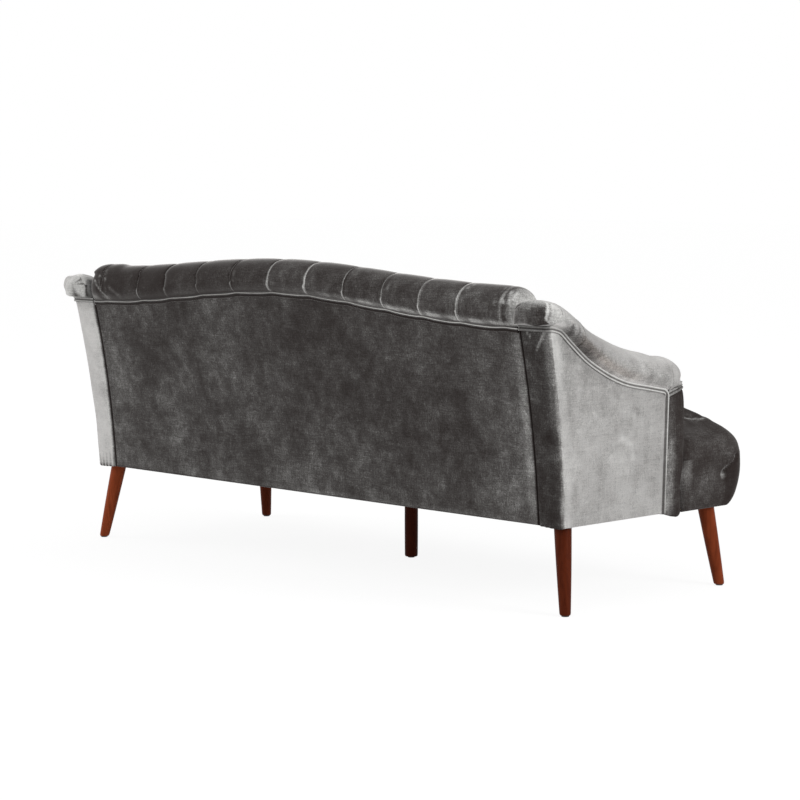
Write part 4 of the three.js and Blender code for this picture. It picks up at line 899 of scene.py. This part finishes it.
def front_pad(side):
    """Padded front of an arm, with a band folded twice along its slanted top."""
    arcs = np.linspace(0, QUARTER, 14)
    shares = (0.0, 0.004, 0.012, 0.025, 0.04, *np.linspace(0.06, 1.0, 40))
    rows = [(True, mix(FRONT_PAD_FOOT, FRONT_PAD_BODY_TOP, s), s, 0.0, 0.022) for s in shares]
    rows += [(False, drop, 1.0, grow, 0.8 * tone) for drop, grow, tone in FRONT_BAND]
    loops, tones = [], []
    for level, height, share, grow, tone in rows:
        inset = FRONT_PAD_FOOT_INSET * (1 - quarter_round(share / 0.045)) if level else -grow
        bulge = FRONT_PAD_BULGE * math.sin(math.pi * min(1, share))
        outer = float(side_face_x(height if level else FRONT_PAD_BODY_TOP)) + bulge - inset
        inner = ARM_INSIDE_X + inset
        face = FRONT_PAD_FACE_Y + inset + FRONT_BAND_SET_BACK * (ramp(share, 0.85, 0.15) if level else 1)
        face += 0 if level else 0.008 * ramp(height, -0.0085, 0.006)
        radius = FRONT_PAD_RADIUS - inset
        flank = (0, 0.12, 0.3, 0.5, 0.75)
        plan = [(outer - 0.004 * (1 - s), mix(FRONT_PAD_REAR_Y, face + radius, s)) for s in flank]
        plan += [(outer - radius * (1 - math.cos(a)), face + radius * (1 - math.sin(a))) for a in arcs]
        plan += [(inner + radius * (1 - math.sin(a)), face + radius * (1 - math.cos(a))) for a in arcs]
        plan = np.array([*plan, (inner, FRONT_PAD_REAR_Y)])
        depth = plan[:, 1]
        z = front_pad_top_z(depth) - 0.008 * ramp(depth, -0.116, -0.016) + (0 if level else height)
        if level:
            spare = z - FRONT_BAND_HEIGHT
            z = mix(height, spare, ramp(share, 0.8, 0.2))
            z = np.minimum(z, spare - 0.0004 * (1 - share))
            rise = 0.012 * ramp(depth, FRONT_PAD_REAR_Y - 0.034, 0.030)
            z += (1 - share) ** 8 * (rise - 0.004 * ramp(depth, FRONT_PAD_REAR_Y - 0.03, -0.03))
        loops.append(np.column_stack([plan, z]))
        tones.append(np.full(len(plan), tone))
    loops, tone = np.array(loops), np.array(tones)
    x, y, z = loops[..., 0], loops[..., 1], loops[..., 2]
    away = loops - loops.mean(axis=1, keepdims=True)
    away[..., 2] = 0
    away /= np.maximum(np.linalg.norm(away, axis=2, keepdims=True), 1e-9)
    dents = 0.0009 * noise(loops, 34.0, 2.0 + side) + 0.0004 * noise(loops, 90.0, 6.0)
    pucker = 0.0012 * hill(z - FRONT_PAD_FOOT - 0.02, 0.02) * np.sin(y * 420 + 3)
    loops = loops + away * (dents + pucker)[..., None]
    # Painted shade over the pad's front, giving way to painted light and sheen towards the side and the rear;
    # the folded band painted darker at the front.
    body = z < front_pad_top_z(y) - 0.0212
    behind = ramp(y, -0.097, 0.03) * ramp(x, 0.85, 0.02)
    tone = tone + body * behind * (0.07 + 0.15 * ramp(z, 0.42, -0.1)) * (0.9 + 0.3 * noise(loops, 30.0, 1.0))
    tone = np.where(body, tone, tone * (0.55 + 0.45 * behind))
    nap = np.broadcast_to([0.35 * side, 0.45, -0.1], loops.shape)
    piece = loft(f"arm_front_velvet_{hand(side)}", loops * [side, 1, 1], tone=tone, nap=nap)
    in_place(piece, f"arm_front_pad_{hand(side)}", "velvet")


# Tufts, set in diamonds at the whole and half places of their rows

def apart(u):
    """Distance from the next whole number."""
    return np.abs((u + 0.5) % 1 - 0.5)


def diamond_creases(u, v, inside):
    """Creases from tuft to tuft, straight up where not inside the tufted field, and the folds round them."""
    straight = apart(u) * PLEAT_PITCH
    slant = np.minimum(apart(u + v / 2), apart(u - v / 2)) * PLEAT_PITCH * TUFT_SLANT_SHARE
    crease = mix(hill(straight, TUFT_CREASE), hill(slant, TUFT_CREASE), inside)
    broad = mix(np.exp(-straight / TUFT_FOLD), np.exp(-slant / TUFT_FOLD), inside)
    return crease, 0.45 * crease + 0.55 * broad


def tuft_dips(u, ups):
    """Dips at the tufts, for the distances up from each row of them."""
    return sum(
        np.exp(-np.hypot(apart(u + row % 2 / 2) * PLEAT_PITCH, up) / TUFT_WIDTH) for row, up in enumerate(ups)
    )


def back_tufts(x, shares):
    """Dip and lightness of the inside back at one place along it, for shares of its height."""
    step = TUFT_ROW_SHARES[0] - TUFT_ROW_SHARES[1]
    u = x / PLEAT_PITCH + 0.5
    v = (shares - TUFT_ROW_SHARES[2]) / step
    crease, fold = diamond_creases(u, v, ramp(v, -0.02, 0.05) * ramp(v, 2.02, -0.05))
    tufts = tuft_dips(u, [(shares - share) / step * TUFT_ROW_PITCH for share in TUFT_ROW_SHARES])
    return BACK_FOLD_DEPTH * fold + (BACK_TUFT_DEPTH - BACK_FOLD_DEPTH) * tufts, crease


def seat_tufts(x, y):
    """Dip and crease lightness of the seat's top."""
    front = SEAT_FRONT_Y + SEAT_EDGE_WIDTH
    step = (SEAT_REAR_Y - front) / (SEAT_TUFT_ROWS + 0.5)
    u, v = x / PLEAT_PITCH, (y - front) / step
    crease, fold = diamond_creases(u, v, ramp(v, -0.02, 0.06) * ramp(v, SEAT_TUFT_ROWS + 0.03, -0.06))
    tufts = tuft_dips(u, [y - front - row * step for row in range(SEAT_TUFT_ROWS + 1)])
    inner = ramp(np.abs(x), SEAT_EAR_X - SEAT_EDGE_WIDTH * 0.6, -0.05)
    fold = fold * ramp(y, SEAT_FRONT_Y + 0.02, 0.06)
    return (SEAT_FOLD_DEPTH * fold + (SEAT_TUFT_DEPTH - SEAT_FOLD_DEPTH) * tufts) * inner, crease * inner


# Back

def pleat_fields(x):
    """Groove depth and lightness of the pleats at places along the back: a thin light line on each fold,
    partly the pile opened there and partly painted highlight, with painted shade beside it.
    """
    groove = np.zeros_like(x)
    light = np.zeros_like(x)
    for place in PLEAT_XS:
        off = x - place
        drawn = 0.5 if place > BACK_PAD_END_X - PLEAT_PITCH else 1.0
        groove += drawn * (0.0024 * hill(off, 0.0022) + 0.0026 * np.exp(-np.abs(off) / 0.016))
        groove -= drawn * 0.0012 * hill(off + 0.0032, 0.0024)
        strength = mix(0.30, 0.95, ramp(place, 0.30, -0.65)) * (drawn == 1)
        light += strength * hill(off + 0.0006, 0.0018) - 0.04 * hill(off + 0.0062, 0.0040)
    return groove, light


def back_section(x, groove, light):
    """The back pad's section at a place along it, from the welt over the roll to the seat, and its tones."""
    arc = np.linspace(0, math.pi, 40)
    rising = np.linspace(0, 1, 10)[:-1]
    falling = np.linspace(1, 0, 46)[1:]
    start = back_welt_z(x) + WELT_SEAT - 0.003
    top = back_roll_z(x)
    wide_z = mix(back_welt_z(x), top, ROLL_WIDEST_SHARE)
    softer = FAR_END_STRETCH if x > 0 else 1
    end = (BACK_PAD_END_X - abs(x)) / (BACK_END_LENGTH * softer)
    drop = BACK_END_DROP / softer * (1 - quarter_round(end))
    z_in = mix(SEAT_LINE, wide_z, np.concatenate([[1], falling]))
    y_in = back_face_y(z_in) - BACK_PAD_REAR
    y_in -= mix(BACK_PAD_AT_SEAT, BACK_PAD_AT_TOP, (z_in - SEAT_LINE) / (wide_z - SEAT_LINE))
    front, rear = y_in[0], back_face_y(wide_z) + ROLL_BEHIND
    middle, half = (front + rear) / 2, (rear - front) / 2
    seam_y = back_face_y(start) - 0.004
    lower = [
        (mix(seam_y, rear - drop, math.sin(QUARTER * s)), wide_z - (wide_z - start) * math.cos(QUARTER * s))
        for s in rising
    ]
    deep = groove + drop
    over = [(middle + (half - deep) * math.cos(a), wide_z + (top - wide_z - deep) * math.sin(a)) for a in arc]
    tuft_dip, tuft_light = back_tufts(x, falling)
    slope = list(zip(y_in[1:] + drop + tuft_dip, z_in[1:]))
    closing = [(SEAT_REAR_Y + 0.001, SEAT_UNDER), (back_face_y(SEAT_UNDER) - BACK_PAD_REAR, SEAT_UNDER),
               (back_face_y(start - 0.012) - BACK_PAD_REAR, start - 0.012)]
    # Tones: painted light towards the near end, darker towards the far end, and the pleat lines lightest over
    # the top of the roll as painted highlight.
    near = ramp(-x, 0.772, 0.018)
    base = 0.020 + 0.027 * ramp(x, 0.60, -0.7)
    fade = np.linspace(1, 0, len(lower))
    tone_low = base + 0.01 * fade + 0.34 * near + 0.7 * light * (1 - 0.7 * fade)
    tone_over = base + 0.012 * ramp(x, 0.1, -0.5) + 0.38 * near + light * (0.75 + 0.25 * np.sin(arc))
    tones = np.concatenate([tone_low, tone_over, 0.12 + 0.1 * tuft_light, np.full(len(closing), 0.1)])
    return [(x, y, z) for y, z in lower + over + slope + closing], tones


def back_pad():
    """Inside back with blind diamond tufts, and the pleated roll over the top."""
    ends = BACK_PAD_END_X - BACK_END_LENGTH * (1 - np.cos(np.linspace(0, QUARTER, 10)))
    xs = places(-ends[-1], ends[-1], 0.008, PLEAT_XS, 0.008, 0.0011)
    xs = np.concatenate([-ends[:-1], xs, ends[:-1][::-1]])
    sections = [back_section(*values) for values in zip(xs, *pleat_fields(xs))]
    loops, tones = (np.array(part) for part in zip(*sections))
    x, y, z = loops[..., 0], loops[..., 1], loops[..., 2]

    # The ends fit between the arms and lap the far arm's roll
    ridge = arm_ridge_z(y)
    squeeze = smooth((ridge - 0.03 - z) / 0.04 + 0.5)
    lap = FAR_END_LAP * ramp(z, ridge + 0.002, 0.012) * (x > 0)
    arm_x = mix(ARM_INSIDE_X, ARM_INSIDE_REAR_X, arm_shift(y))
    reach = mix(BACK_PAD_END_X, arm_x - HAIRLINE, squeeze) + lap
    loops[..., 0] = x * reach / BACK_PAD_END_X
    loops[..., 1] += 0.0012 * noise(loops, 20.0, 0.4) * ramp(z, SEAT_LINE, 0.05)
    tones += 0.012 * noise(loops, 14.0, 7.0)

    # The roll's rear: painted light in blotches above the welt and at the ends, painted shade in a line just
    # above the welt, and fine folds with painted highlights
    behind = ramp(y, 0.35, 0.02)
    light_blotches = smooth((noise(loops, 62.0, 1.7) + 0.6 * noise(loops, 150.0, 0.6) + 0.25) / 0.7)
    above_welt = z - back_welt_z(x) - WELT_SEAT
    tones += behind * (0.14 + 0.32 * light_blotches) * ramp(x, -0.02, -0.40) * hill(above_welt - 0.0072, 0.0052)
    tones += behind * light_blotches * 0.16 * ramp(x, 0.60, 0.1) * hill(above_welt - 0.008, 0.008)
    tones += behind * light_blotches * 0.14 * ramp(x, -0.768, -0.012)
    tones *= 1 - 0.92 * behind * hill(above_welt + 0.001, 0.0032)
    tones += behind * strokes(x, z, ROLL_FOLDS)
    nap = np.zeros_like(loops)
    nap[..., 2] = mix(0.45, -0.25, ramp(above_welt, -0.001, 0.012)) * behind
    piece = loft("back_velvet", loops, tone=np.maximum(tones, LEAST_TONE), nap=nap)
    in_place(piece, "back_cushion", "velvet")


# Seat

def seat_plan(side, front):
    """Distances from the seat's side and front edges once its corners are rounded."""
    ring = np.minimum(side, front)
    along = np.maximum(side, front) - ring
    radius = np.maximum(0, SEAT_CORNER - ring)
    angle = math.pi / 4 * (1 - along / np.where(radius > 0, radius, 1))
    near = ring + radius - radius * np.cos(angle)
    far = ring + radius - radius * np.sin(angle)
    turning = along < radius
    new_side = np.where(turning, np.where(side < front, near, far), side)
    new_front = np.where(turning, np.where(side < front, far, near), front)
    return new_side, new_front, ring


def seat_top(xs, ys):
    """Points and tones of the seat's tufted top, whose ears have a lobe, a long fold and a nick."""
    gx, gy = np.meshgrid(xs, ys)
    out = np.abs(gx)
    side, front, ring = seat_plan(SEAT_EAR_X - out, gy - SEAT_FRONT_Y)
    fall = SEAT_EDGE_FALL * along_shares(SEAT_EDGE_SHARES, ring / SEAT_EDGE_WIDTH)
    crown = SEAT_CROWN * clamp01((ring - SEAT_EDGE_WIDTH) / SEAT_EDGE_WIDTH)
    dip, crease = seat_tufts(gx, gy)
    lobe = EAR_LOBE_FALL * hill(out - EAR_LOBE_X, 0.070) * hill(gy - EAR_LOBE_Y, 0.055)
    fold_run = ramp(gy, -0.325, 0.03) * ramp(gy, -0.215, -0.03)
    off_fold = out - EAR_FOLD_X + EAR_FOLD_BEND * np.maximum(gy - EAR_FOLD_FRONT_Y, 0) ** 2
    fold, fold_lip = hill(off_fold, 0.0045) * fold_run, hill(off_fold - 0.0055, 0.0036) * fold_run
    nick = stroke(out, gy, (0.857, -0.162), (0.876, -0.148), 0.004)
    z = SEAT_TOP + crown - fall - dip - lobe - 0.005 * fold - 0.004 * nick
    top = np.stack([np.where(gx < 0, -1.0, 1.0) * (SEAT_EAR_X - side), SEAT_FRONT_Y + front, z], axis=2)
    inner_lobe = ramp(off_fold, 0.0, -0.006) * ramp(out, 0.9 * SEAT_EAR_X, -0.02) * (out > 0.70)
    # Tones: lighter along the tuft creases, a painted highlight on the ear fold's lip, painted shade in the
    # fold and the nick, and a mottled lighter lobe inside the fold.
    tone = 0.040 + 0.10 * crease + 0.34 * fold_lip - 0.03 * fold - 0.03 * nick
    tone += 0.06 * inner_lobe * smooth((noise(top, 60.0, 2.0) + 0.2) / 0.8)
    return top, tone


def seat_pad():
    """Seat: a tight pad with diamond tufts whose ears run round the front of the arms."""
    edge = SEAT_EDGE_WIDTH * np.concatenate([np.linspace(0, 0.2, 12), np.linspace(0.2, 1, 20)[1:]])
    inner_half = SEAT_EAR_X - SEAT_EDGE_WIDTH
    across = np.linspace(-inner_half, inner_half, 190)[1:-1]
    xs = np.concatenate([edge - SEAT_EAR_X, across, (SEAT_EAR_X - edge)[::-1]])
    deck = np.linspace(SEAT_FRONT_Y + SEAT_EDGE_WIDTH, SEAT_REAR_Y, 64)[1:]
    ys = np.sort(np.concatenate([SEAT_FRONT_Y + edge, deck, [SEAT_EAR_REAR_Y, SEAT_EAR_REAR_Y + HAIRLINE]]))
    top, top_tone = seat_top(xs, ys)
    rows, columns = top.shape[:2]
    rim = grid_rim(rows, columns)
    rim_x = xs[rim[:, 1]]
    base_x, base_y = np.abs(top[rim[:, 0], rim[:, 1], 0]), top[rim[:, 0], rim[:, 1], 1]
    points, tones = [top.reshape(-1, 3)], [top_tone.ravel()]
    faces = grid_faces(rows, columns)
    above = rim @ [columns, 1]
    total = rows * columns

    # Where each point of the rim lies: at the front, round a corner, on an ear or at the rear
    out, ahead = base_x - SEAT_EAR_X + SEAT_CORNER, SEAT_FRONT_Y + SEAT_CORNER - base_y
    turn = np.arctan2(np.maximum(ahead, 0), np.maximum(out, 0))
    in_front = (out <= 0) & (ahead > 0)
    at_rear = base_y > SEAT_REAR_Y - HAIRLINE
    corner_along = EAR_TUFT_Y - SEAT_FRONT_Y - SEAT_CORNER + SEAT_CORNER * turn
    along = np.where(ahead < 0, EAR_TUFT_Y - base_y, corner_along)
    on_ear = (np.abs(rim_x) > ARM_INSIDE_X) & (base_y < SEAT_EAR_REAR_Y + HAIRLINE / 2)
    away = np.where(in_front, 0.0, np.cos(turn)), np.where(in_front, 1.0, np.sin(turn))
    rear_round = 0.005 * (1 - quarter_round((SEAT_EAR_REAR_Y - base_y) / 0.016)) * on_ear
    for share in np.linspace(0, 1, SKIRT_ROWS)[1:]:
        drawn = float(along_shares(SEAT_FOOT_SHARES, share))
        corner = mix(SEAT_CORNER, SEAT_FOOT_CORNER, drawn)
        side_x, front_y = SEAT_EAR_X - SEAT_FOOT_SIDE_INSET * drawn, SEAT_FRONT_Y + SEAT_FOOT_INSET * drawn
        z = mix(SEAT_TOP - SEAT_EDGE_FALL, SEAT_FOOT, share)
        x_new = np.where(ahead > 0, side_x - corner + corner * np.cos(turn), side_x)
        shifted = base_x + (side_x - corner - SEAT_EAR_X + SEAT_CORNER) * clamp01(1 + out / 0.2)
        x_new = np.where(in_front, shifted, x_new)
        x_new = np.where(at_rear, np.minimum(base_x, side_x), x_new)
        y_new = np.where(ahead > 0, front_y + corner - corner * np.sin(turn), base_y)
        y_new += clamp01(1 + ahead / 0.1) * (ahead <= 0) * (front_y + corner - SEAT_FRONT_Y - SEAT_CORNER)
        y_new = np.where(at_rear, base_y, y_new)

        # The ear's tuft and the crease that climbs from it
        off = np.hypot(base_y - EAR_TUFT_Y, z - EAR_TUFT_Z)
        climb = (z - EAR_TUFT_Z) / EAR_CREASE_RISE
        on_crease = ramp(climb, -0.03, 0.06) * on_ear
        off_crease = (along - EAR_CREASE_LENGTH * along_shares(EAR_CREASE_SHARES, climb)) * 0.63
        fold, fold_lip = hill(off_crease, 0.004) * on_crease, hill(off_crease + 0.0030, 0.0022) * on_crease
        depth = (0.012 * np.exp(-off / 0.020) - 0.003 * math.sin(math.pi * share)) * on_ear + 0.006 * fold
        depth += rear_round * ramp(z, RAIL_TOP, 0.03)
        if z < RAIL_TOP + WELT_RADIUS:
            clear_of_rail = np.maximum(x_new - SIDE_RAIL_X - 0.0008, 0)
            depth = np.where(in_front, depth, np.minimum(depth, clear_of_rail))
        x_new = np.where(rim_x < 0, -1.0, 1.0) * (x_new - away[0] * depth)
        points.append(np.column_stack([x_new, y_new + away[1] * depth, np.full(len(rim), z)]))
        # Tones: painted highlight on the ear crease's lip and round the ear's tuft, painted shade in the
        # crease and on the face beyond it, and two lighter patches towards the ear's rear.
        tone = 0.031 + 0.32 * fold_lip * (1 - 0.5 * hill(climb - 0.35, 0.2)) - 0.015 * fold
        tone += on_ear * (0.30 * hill(off - 0.003, 0.005) - 0.020 * smooth(off_crease / 0.01))
        tone += 0.18 * on_ear * hill(base_y + 0.149, 0.007) * hill(z - 0.302, 0.034)
        tone += 0.030 * on_ear * hill(base_y + 0.19, 0.05) * hill(z - 0.255, 0.04)
        tones.append(tone + 0.012 * noise(points[-1], 30.0, 3.0))
        below = np.arange(total, total + len(rim))
        total += len(rim)
        faces += zip(above, below, np.roll(below, -1), np.roll(above, -1))
        above = below
    points = np.concatenate([*points, [[0.0, 0.0, SEAT_FOOT]]])
    faces += [(total, b, a) for a, b in zip(above, np.roll(above, -1))]
    tuck_arms(points)
    tone = np.append(np.maximum(np.concatenate(tones), LEAST_TONE), 0.08)
    nap = np.tile([0.0, 0.25, -0.12], (total + 1, 1))
    piece = mesh_object("seat_velvet", points, faces, tone=tone, nap=nap)
    in_place(piece, "seat_cushion", "velvet")


def tuck_arms(points):
    """Draws the seat in between the arms behind its ears, whose rear faces follow the round arm fronts."""
    x, y = points[:, 0], points[:, 1]
    limit = ARM_INSIDE_X - HAIRLINE
    over = (y > SEAT_EAR_REAR_Y + HAIRLINE / 2) & (np.abs(x) > limit)
    x[over] = np.sign(x[over]) * limit
    rear_row = (np.abs(y - SEAT_EAR_REAR_Y) < HAIRLINE / 2) & (np.abs(x) > ARM_INSIDE_X)
    lap = clamp01((np.abs(x[rear_row]) - SIDE_FOOT_X + FRONT_PAD_RADIUS - 0.004) / FRONT_PAD_RADIUS)
    y[rear_row] += FRONT_PAD_RADIUS * (1 - np.sqrt(1 - lap ** 2)) - 0.0005


# Welts

def sweep(path, outward, profile):
    """Loops of a profile along a path, its first axis kept outward."""
    along = np.gradient(path, axis=0)
    along /= np.linalg.norm(along, axis=1, keepdims=True)
    face = outward - along * np.sum(outward * along, axis=1, keepdims=True)
    face /= np.linalg.norm(face, axis=1, keepdims=True)
    across = np.cross(along, face)
    return path[:, None] + face[:, None] * profile[None, :, :1] + across[:, None] * profile[None, :, 1:]


def twin_profile(drop, sink=0.0):
    """Two cords sewn side by side, the second below the first; also each point's angle on its cord."""
    first, second = np.radians(np.linspace(-68, 248, 17)), np.radians(np.linspace(112, 428, 17))
    upper = WELT_RADIUS * np.column_stack([np.cos(first), np.sin(first)])
    lower = WELT_TWIN_RADIUS * np.column_stack([np.cos(second), np.sin(second)]) - [sink, abs(drop)]
    return np.concatenate([upper, lower]) * [1, np.sign(drop)], np.append(first, second)


def back_welt():
    xs = np.arange(-BACK_SEAM_X + 0.002, BACK_SEAM_X - 0.001, WELT_STEP)
    scallop = sum(hill(xs - p, 0.02) for p in PLEAT_XS)
    z = back_welt_z(xs) + WELT_RADIUS + 0.0014 * scallop + 0.0005 * np.sin(xs * 47)
    path = np.column_stack([xs, back_face_y(z) - WELT_RADIUS + WELT_PROUD, z])
    profile, angles = twin_profile(WELT_TWIN_DROP, sink=0.0022)
    # Painted highlight along the top of the upper cord, stronger towards the near end; the lower cord painted
    # dark as painted shade.
    light = 0.34 + 0.16 * ramp(xs, 0.3, -0.9)
    upper = np.arange(len(angles)) < len(angles) // 2
    tone = np.where(upper, 0.012 + 2.1 * light[:, None] * hill(angles - 0.15, 0.32), LEAST_TONE)
    piece = loft("back_welt_velvet", sweep(path, [0.0, 1.0, 0.0], profile), tone=tone)
    in_place(piece, "back_welt", "piping")


def arm_welt_path():
    """Places of an arm's welt, the way outward from each, and how upright it runs there."""
    edge_y = SIDE_EDGE_Y - SEAM_DEPTH - WELT_RADIUS
    corner_start = back_face_y(ARM_WELT_TOP) - CORNER_RADIUS
    lift = WELT_RADIUS + SEAM_DEPTH
    out_x = WELT_PROUD - WELT_RADIUS
    edge_top = float(arm_welt_z(SIDE_EDGE_Y))
    rows = [(side_face_x(z) + out_x, edge_y, z, 1, 0, 1) for z in np.arange(HEM, edge_top - WELT_BEND, 0.01)]
    for angle in np.linspace(0, QUARTER, 9):
        z = edge_top - WELT_BEND + (lift + WELT_BEND) * math.sin(angle)
        y = edge_y + (lift + WELT_BEND) * (1 - math.cos(angle))
        on_curve = z + arm_welt_z(y) - edge_top if angle > 1.2 else z
        rows.append((side_face_x(z) + out_x, y, on_curve, 1, 0, 1 - smooth(angle)))
    for y in np.arange(SIDE_EDGE_Y + 0.014, corner_start, 0.005):
        slope = float(arm_welt_z(y + 0.004) - arm_welt_z(y - 0.004)) / 0.008
        z = float(arm_welt_z(y)) + lift * math.hypot(1, slope)
        rows.append((side_face_x(z) + out_x, y, z, 1, 0, 0))
    z = ARM_WELT_TOP + lift
    radius = CORNER_RADIUS + out_x
    for angle in np.linspace(0, QUARTER, 10):
        across, back = math.cos(angle), math.sin(angle)
        x = side_face_x(z) - CORNER_RADIUS + radius * across
        y = back_face_y(z) - CORNER_RADIUS + radius * back
        rows.append((x, y, z, across, back, 0))
    rows = np.array([*rows, (BACK_SEAM_X + 0.001, back_face_y(z) + out_x, z, 0, 1, 0)], float)
    lengths = path_lengths(rows[:, :3])
    at = np.linspace(0, lengths[-1], int(lengths[-1] / WELT_STEP) + 1)
    return np.stack([np.interp(at, lengths, column) for column in rows.T], axis=1)


def arm_welt(side):
    """Welt of an arm: up the front edge, along the S-curve and round the rear corner."""
    values = arm_welt_path()
    path, upright = values[:, :3], values[:, 5]
    outward = values[:, 3:] * [1, 1, 0]
    profile, angles = twin_profile(-ARM_TWIN_DROP)
    flat, _ = twin_profile(-ARM_TWIN_DROP, sink=0.0045)
    loops = mix(sweep(path, outward, profile), sweep(path, outward, flat), upright[:, None, None])
    upper = np.arange(len(angles)) < len(angles) // 2
    # Painted highlight round the top of each cord, with painted shade where the near arm's welt runs along
    # the strip and low down the upright front edge.
    lit = np.where(upper, hill(angles - 0.25, 0.85), 0.9 * hill(angles - 2 * math.pi - 0.1, 0.75))
    light = mix(0.80, 0.30 if side < 0 else 0.75, smooth(outward[:, 1]))
    light = light * (1 - 0.3 * upright * ramp(path[:, 2], 0.40, -0.15))
    tone = light[:, None] * (0.14 + 0.86 * lit)
    piece = loft(f"arm_welt_velvet_{hand(side)}", loops * [side, 1, 1], tone=tone)
    in_place(piece, f"arm_welt_{hand(side)}", "piping")


# Legs

def turned_leg(place, painted_leg_light):
    """A leg turned smooth between the middles of its top and foot, its edges eased."""
    low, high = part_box(f"leg_{place}")
    corners = np.array([v.co for v in frame["nodes"][f"leg_{place}"].data.vertices], float)
    foot = corners[corners[:, 2] < low.z + HAIRLINE]
    top = corners[corners[:, 2] > high.z - HAIRLINE]
    foot_middle, top_middle = (foot.min(0) + foot.max(0)) / 2, (top.min(0) + top.max(0)) / 2
    foot_radius, top_radius = np.ptp(foot[:, 0]) / 2 + LEG_EASE, np.ptp(top[:, 0]) / 2
    top_radius *= 1 if place == "centre" else LEG_TOP_SWELL_SHARE
    foot_rows = np.linspace(0, 1, 7) ** 2 * LEG_FOOT_SHARE
    rows = np.concatenate([foot_rows, np.linspace(LEG_FOOT_SHARE, 0.985, 26)[1:], [0.992, 0.997, 1.0]])
    angles = np.linspace(0, 2 * math.pi, LEG_SIDES, endpoint=False)
    ring = np.column_stack([np.cos(angles), np.sin(angles), np.zeros(LEG_SIDES)])
    loops = []
    for share in rows:
        eased = LEG_EASE * (1 - quarter_round(share / LEG_FOOT_SHARE))
        eased += LEG_EASE / 2 * (1 - quarter_round((1 - share) / LEG_TOP_EASE_SHARE))
        radius = mix(foot_radius, top_radius, share) + LEG_SWELL * math.sin(math.pi * share) - eased
        loops.append(mix(foot_middle, top_middle, share) - [0, FEET_MIDDLE_Y, 0] + radius * ring)
    loops = np.array(loops)
    piece = loft(f"turned_leg_{place}", loops, tone=np.full(loops.shape[:2], painted_leg_light))
    in_place(piece, f"leg_{place}", "leg_wood")


for place, painted_leg_light in LEG_PAINTED_LIGHT.items():
    turned_leg(place, painted_leg_light)
back_panel()
back_pad()
seat_pad()
for side in (1, -1):
    arm_cover(side)
    arm_roll(side)
    front_pad(side)
    arm_welt(side)
back_welt()

for part in frame["record"]["subparts"]:
    dressed = frame["nodes"][part["node"]].data
    dressed.materials.clear()
    dressed.materials.append(SLOT_MATERIALS[part["material_slot"]])


# Stage, light and camera

def link_object(name, data):
    made = bpy.data.objects.new(name, data)
    bpy.context.scene.collection.objects.link(made)
    return made


def aim(made, way):
    made.rotation_euler = way.to_track_quat("-Z", "Y").to_euler()


def lamp(name, place, target, size, power):
    data = bpy.data.lights.new(name, "AREA")
    data.shape, data.size, data.energy = "DISK", size, power
    made = link_object(name, data)
    made.location = place
    aim(made, Vector(target) - Vector(place))


def seen_rays(tree):
    """1 for rays from the camera or a glossy face, which see plain white."""
    rays = node(tree, "ShaderNodeLightPath", {})
    return maths(tree, "MAXIMUM", rays.outputs["Is Camera Ray"], rays.outputs["Is Glossy Ray"])


def floor():
    """A white floor that keeps the object's shadow."""
    half = 30.0
    mesh = bpy.data.meshes.new("floor")
    corners = [(-half, -half, 0), (half, -half, 0), (half, half, 0), (-half, half, 0)]
    mesh.from_pydata(corners, [], [(0, 1, 2, 3)])
    material, tree, shader, output = new_material("floor_white")
    feed(tree, shader, {"Base Color": (0.8, 0.8, 0.8, 1), "Roughness": 0.9})
    glow = node(tree, "ShaderNodeEmission", {"Color": (1, 1, 1, 1), "Strength": 1.06})
    share = maths(tree, "MULTIPLY", seen_rays(tree), 0.85)
    mixed = node(tree, "ShaderNodeMixShader", {0: share, 1: shader.outputs[0], 2: glow.outputs[0]})
    feed(tree, output, {0: mixed.outputs[0]})
    mesh.materials.append(material)
    link_object("floor", mesh)


def world():
    made = bpy.data.worlds.new("studio")
    made.use_nodes = True
    tree = made.node_tree
    tree.nodes.clear()
    soft = node(tree, "ShaderNodeBackground", {"Color": (1, 1, 1, 1), "Strength": 0.75})
    white = node(tree, "ShaderNodeBackground", {"Color": (1, 1, 1, 1), "Strength": 1.0})
    mixed = node(tree, "ShaderNodeMixShader", {0: seen_rays(tree), 1: soft.outputs[0], 2: white.outputs[0]})
    node(tree, "ShaderNodeOutputWorld", {0: mixed.outputs[0]})
    bpy.context.scene.world = made


def camera():
    data = bpy.data.cameras.new("camera")
    data.sensor_width = 36.0
    data.lens = 111.375
    data.clip_end = 100.0
    made = link_object("camera", data)
    made.location = (-4.682, 4.617 + FEET_MIDDLE_Y, 1.065)
    yaw, dip = math.radians(45.29), math.radians(5.51)
    aim(made, Vector((math.sin(yaw) * math.cos(dip), -math.cos(yaw) * math.cos(dip), -math.sin(dip))))
    bpy.context.scene.camera = made


world()
floor()
camera()
lamp("key", (-6.5, -1.2, 3.2), (0, 0, 0.4), 3.0, 260)
lamp("fill", (-3.0, 6.0, 3.5), (0, 0, 0.4), 4.0, 60)
lamp("left", (5.5, 3.2, 2.0), (0.6, 0, 0.4), 2.5, 110)
bpy.context.scene.view_settings.view_transform = "Standard"
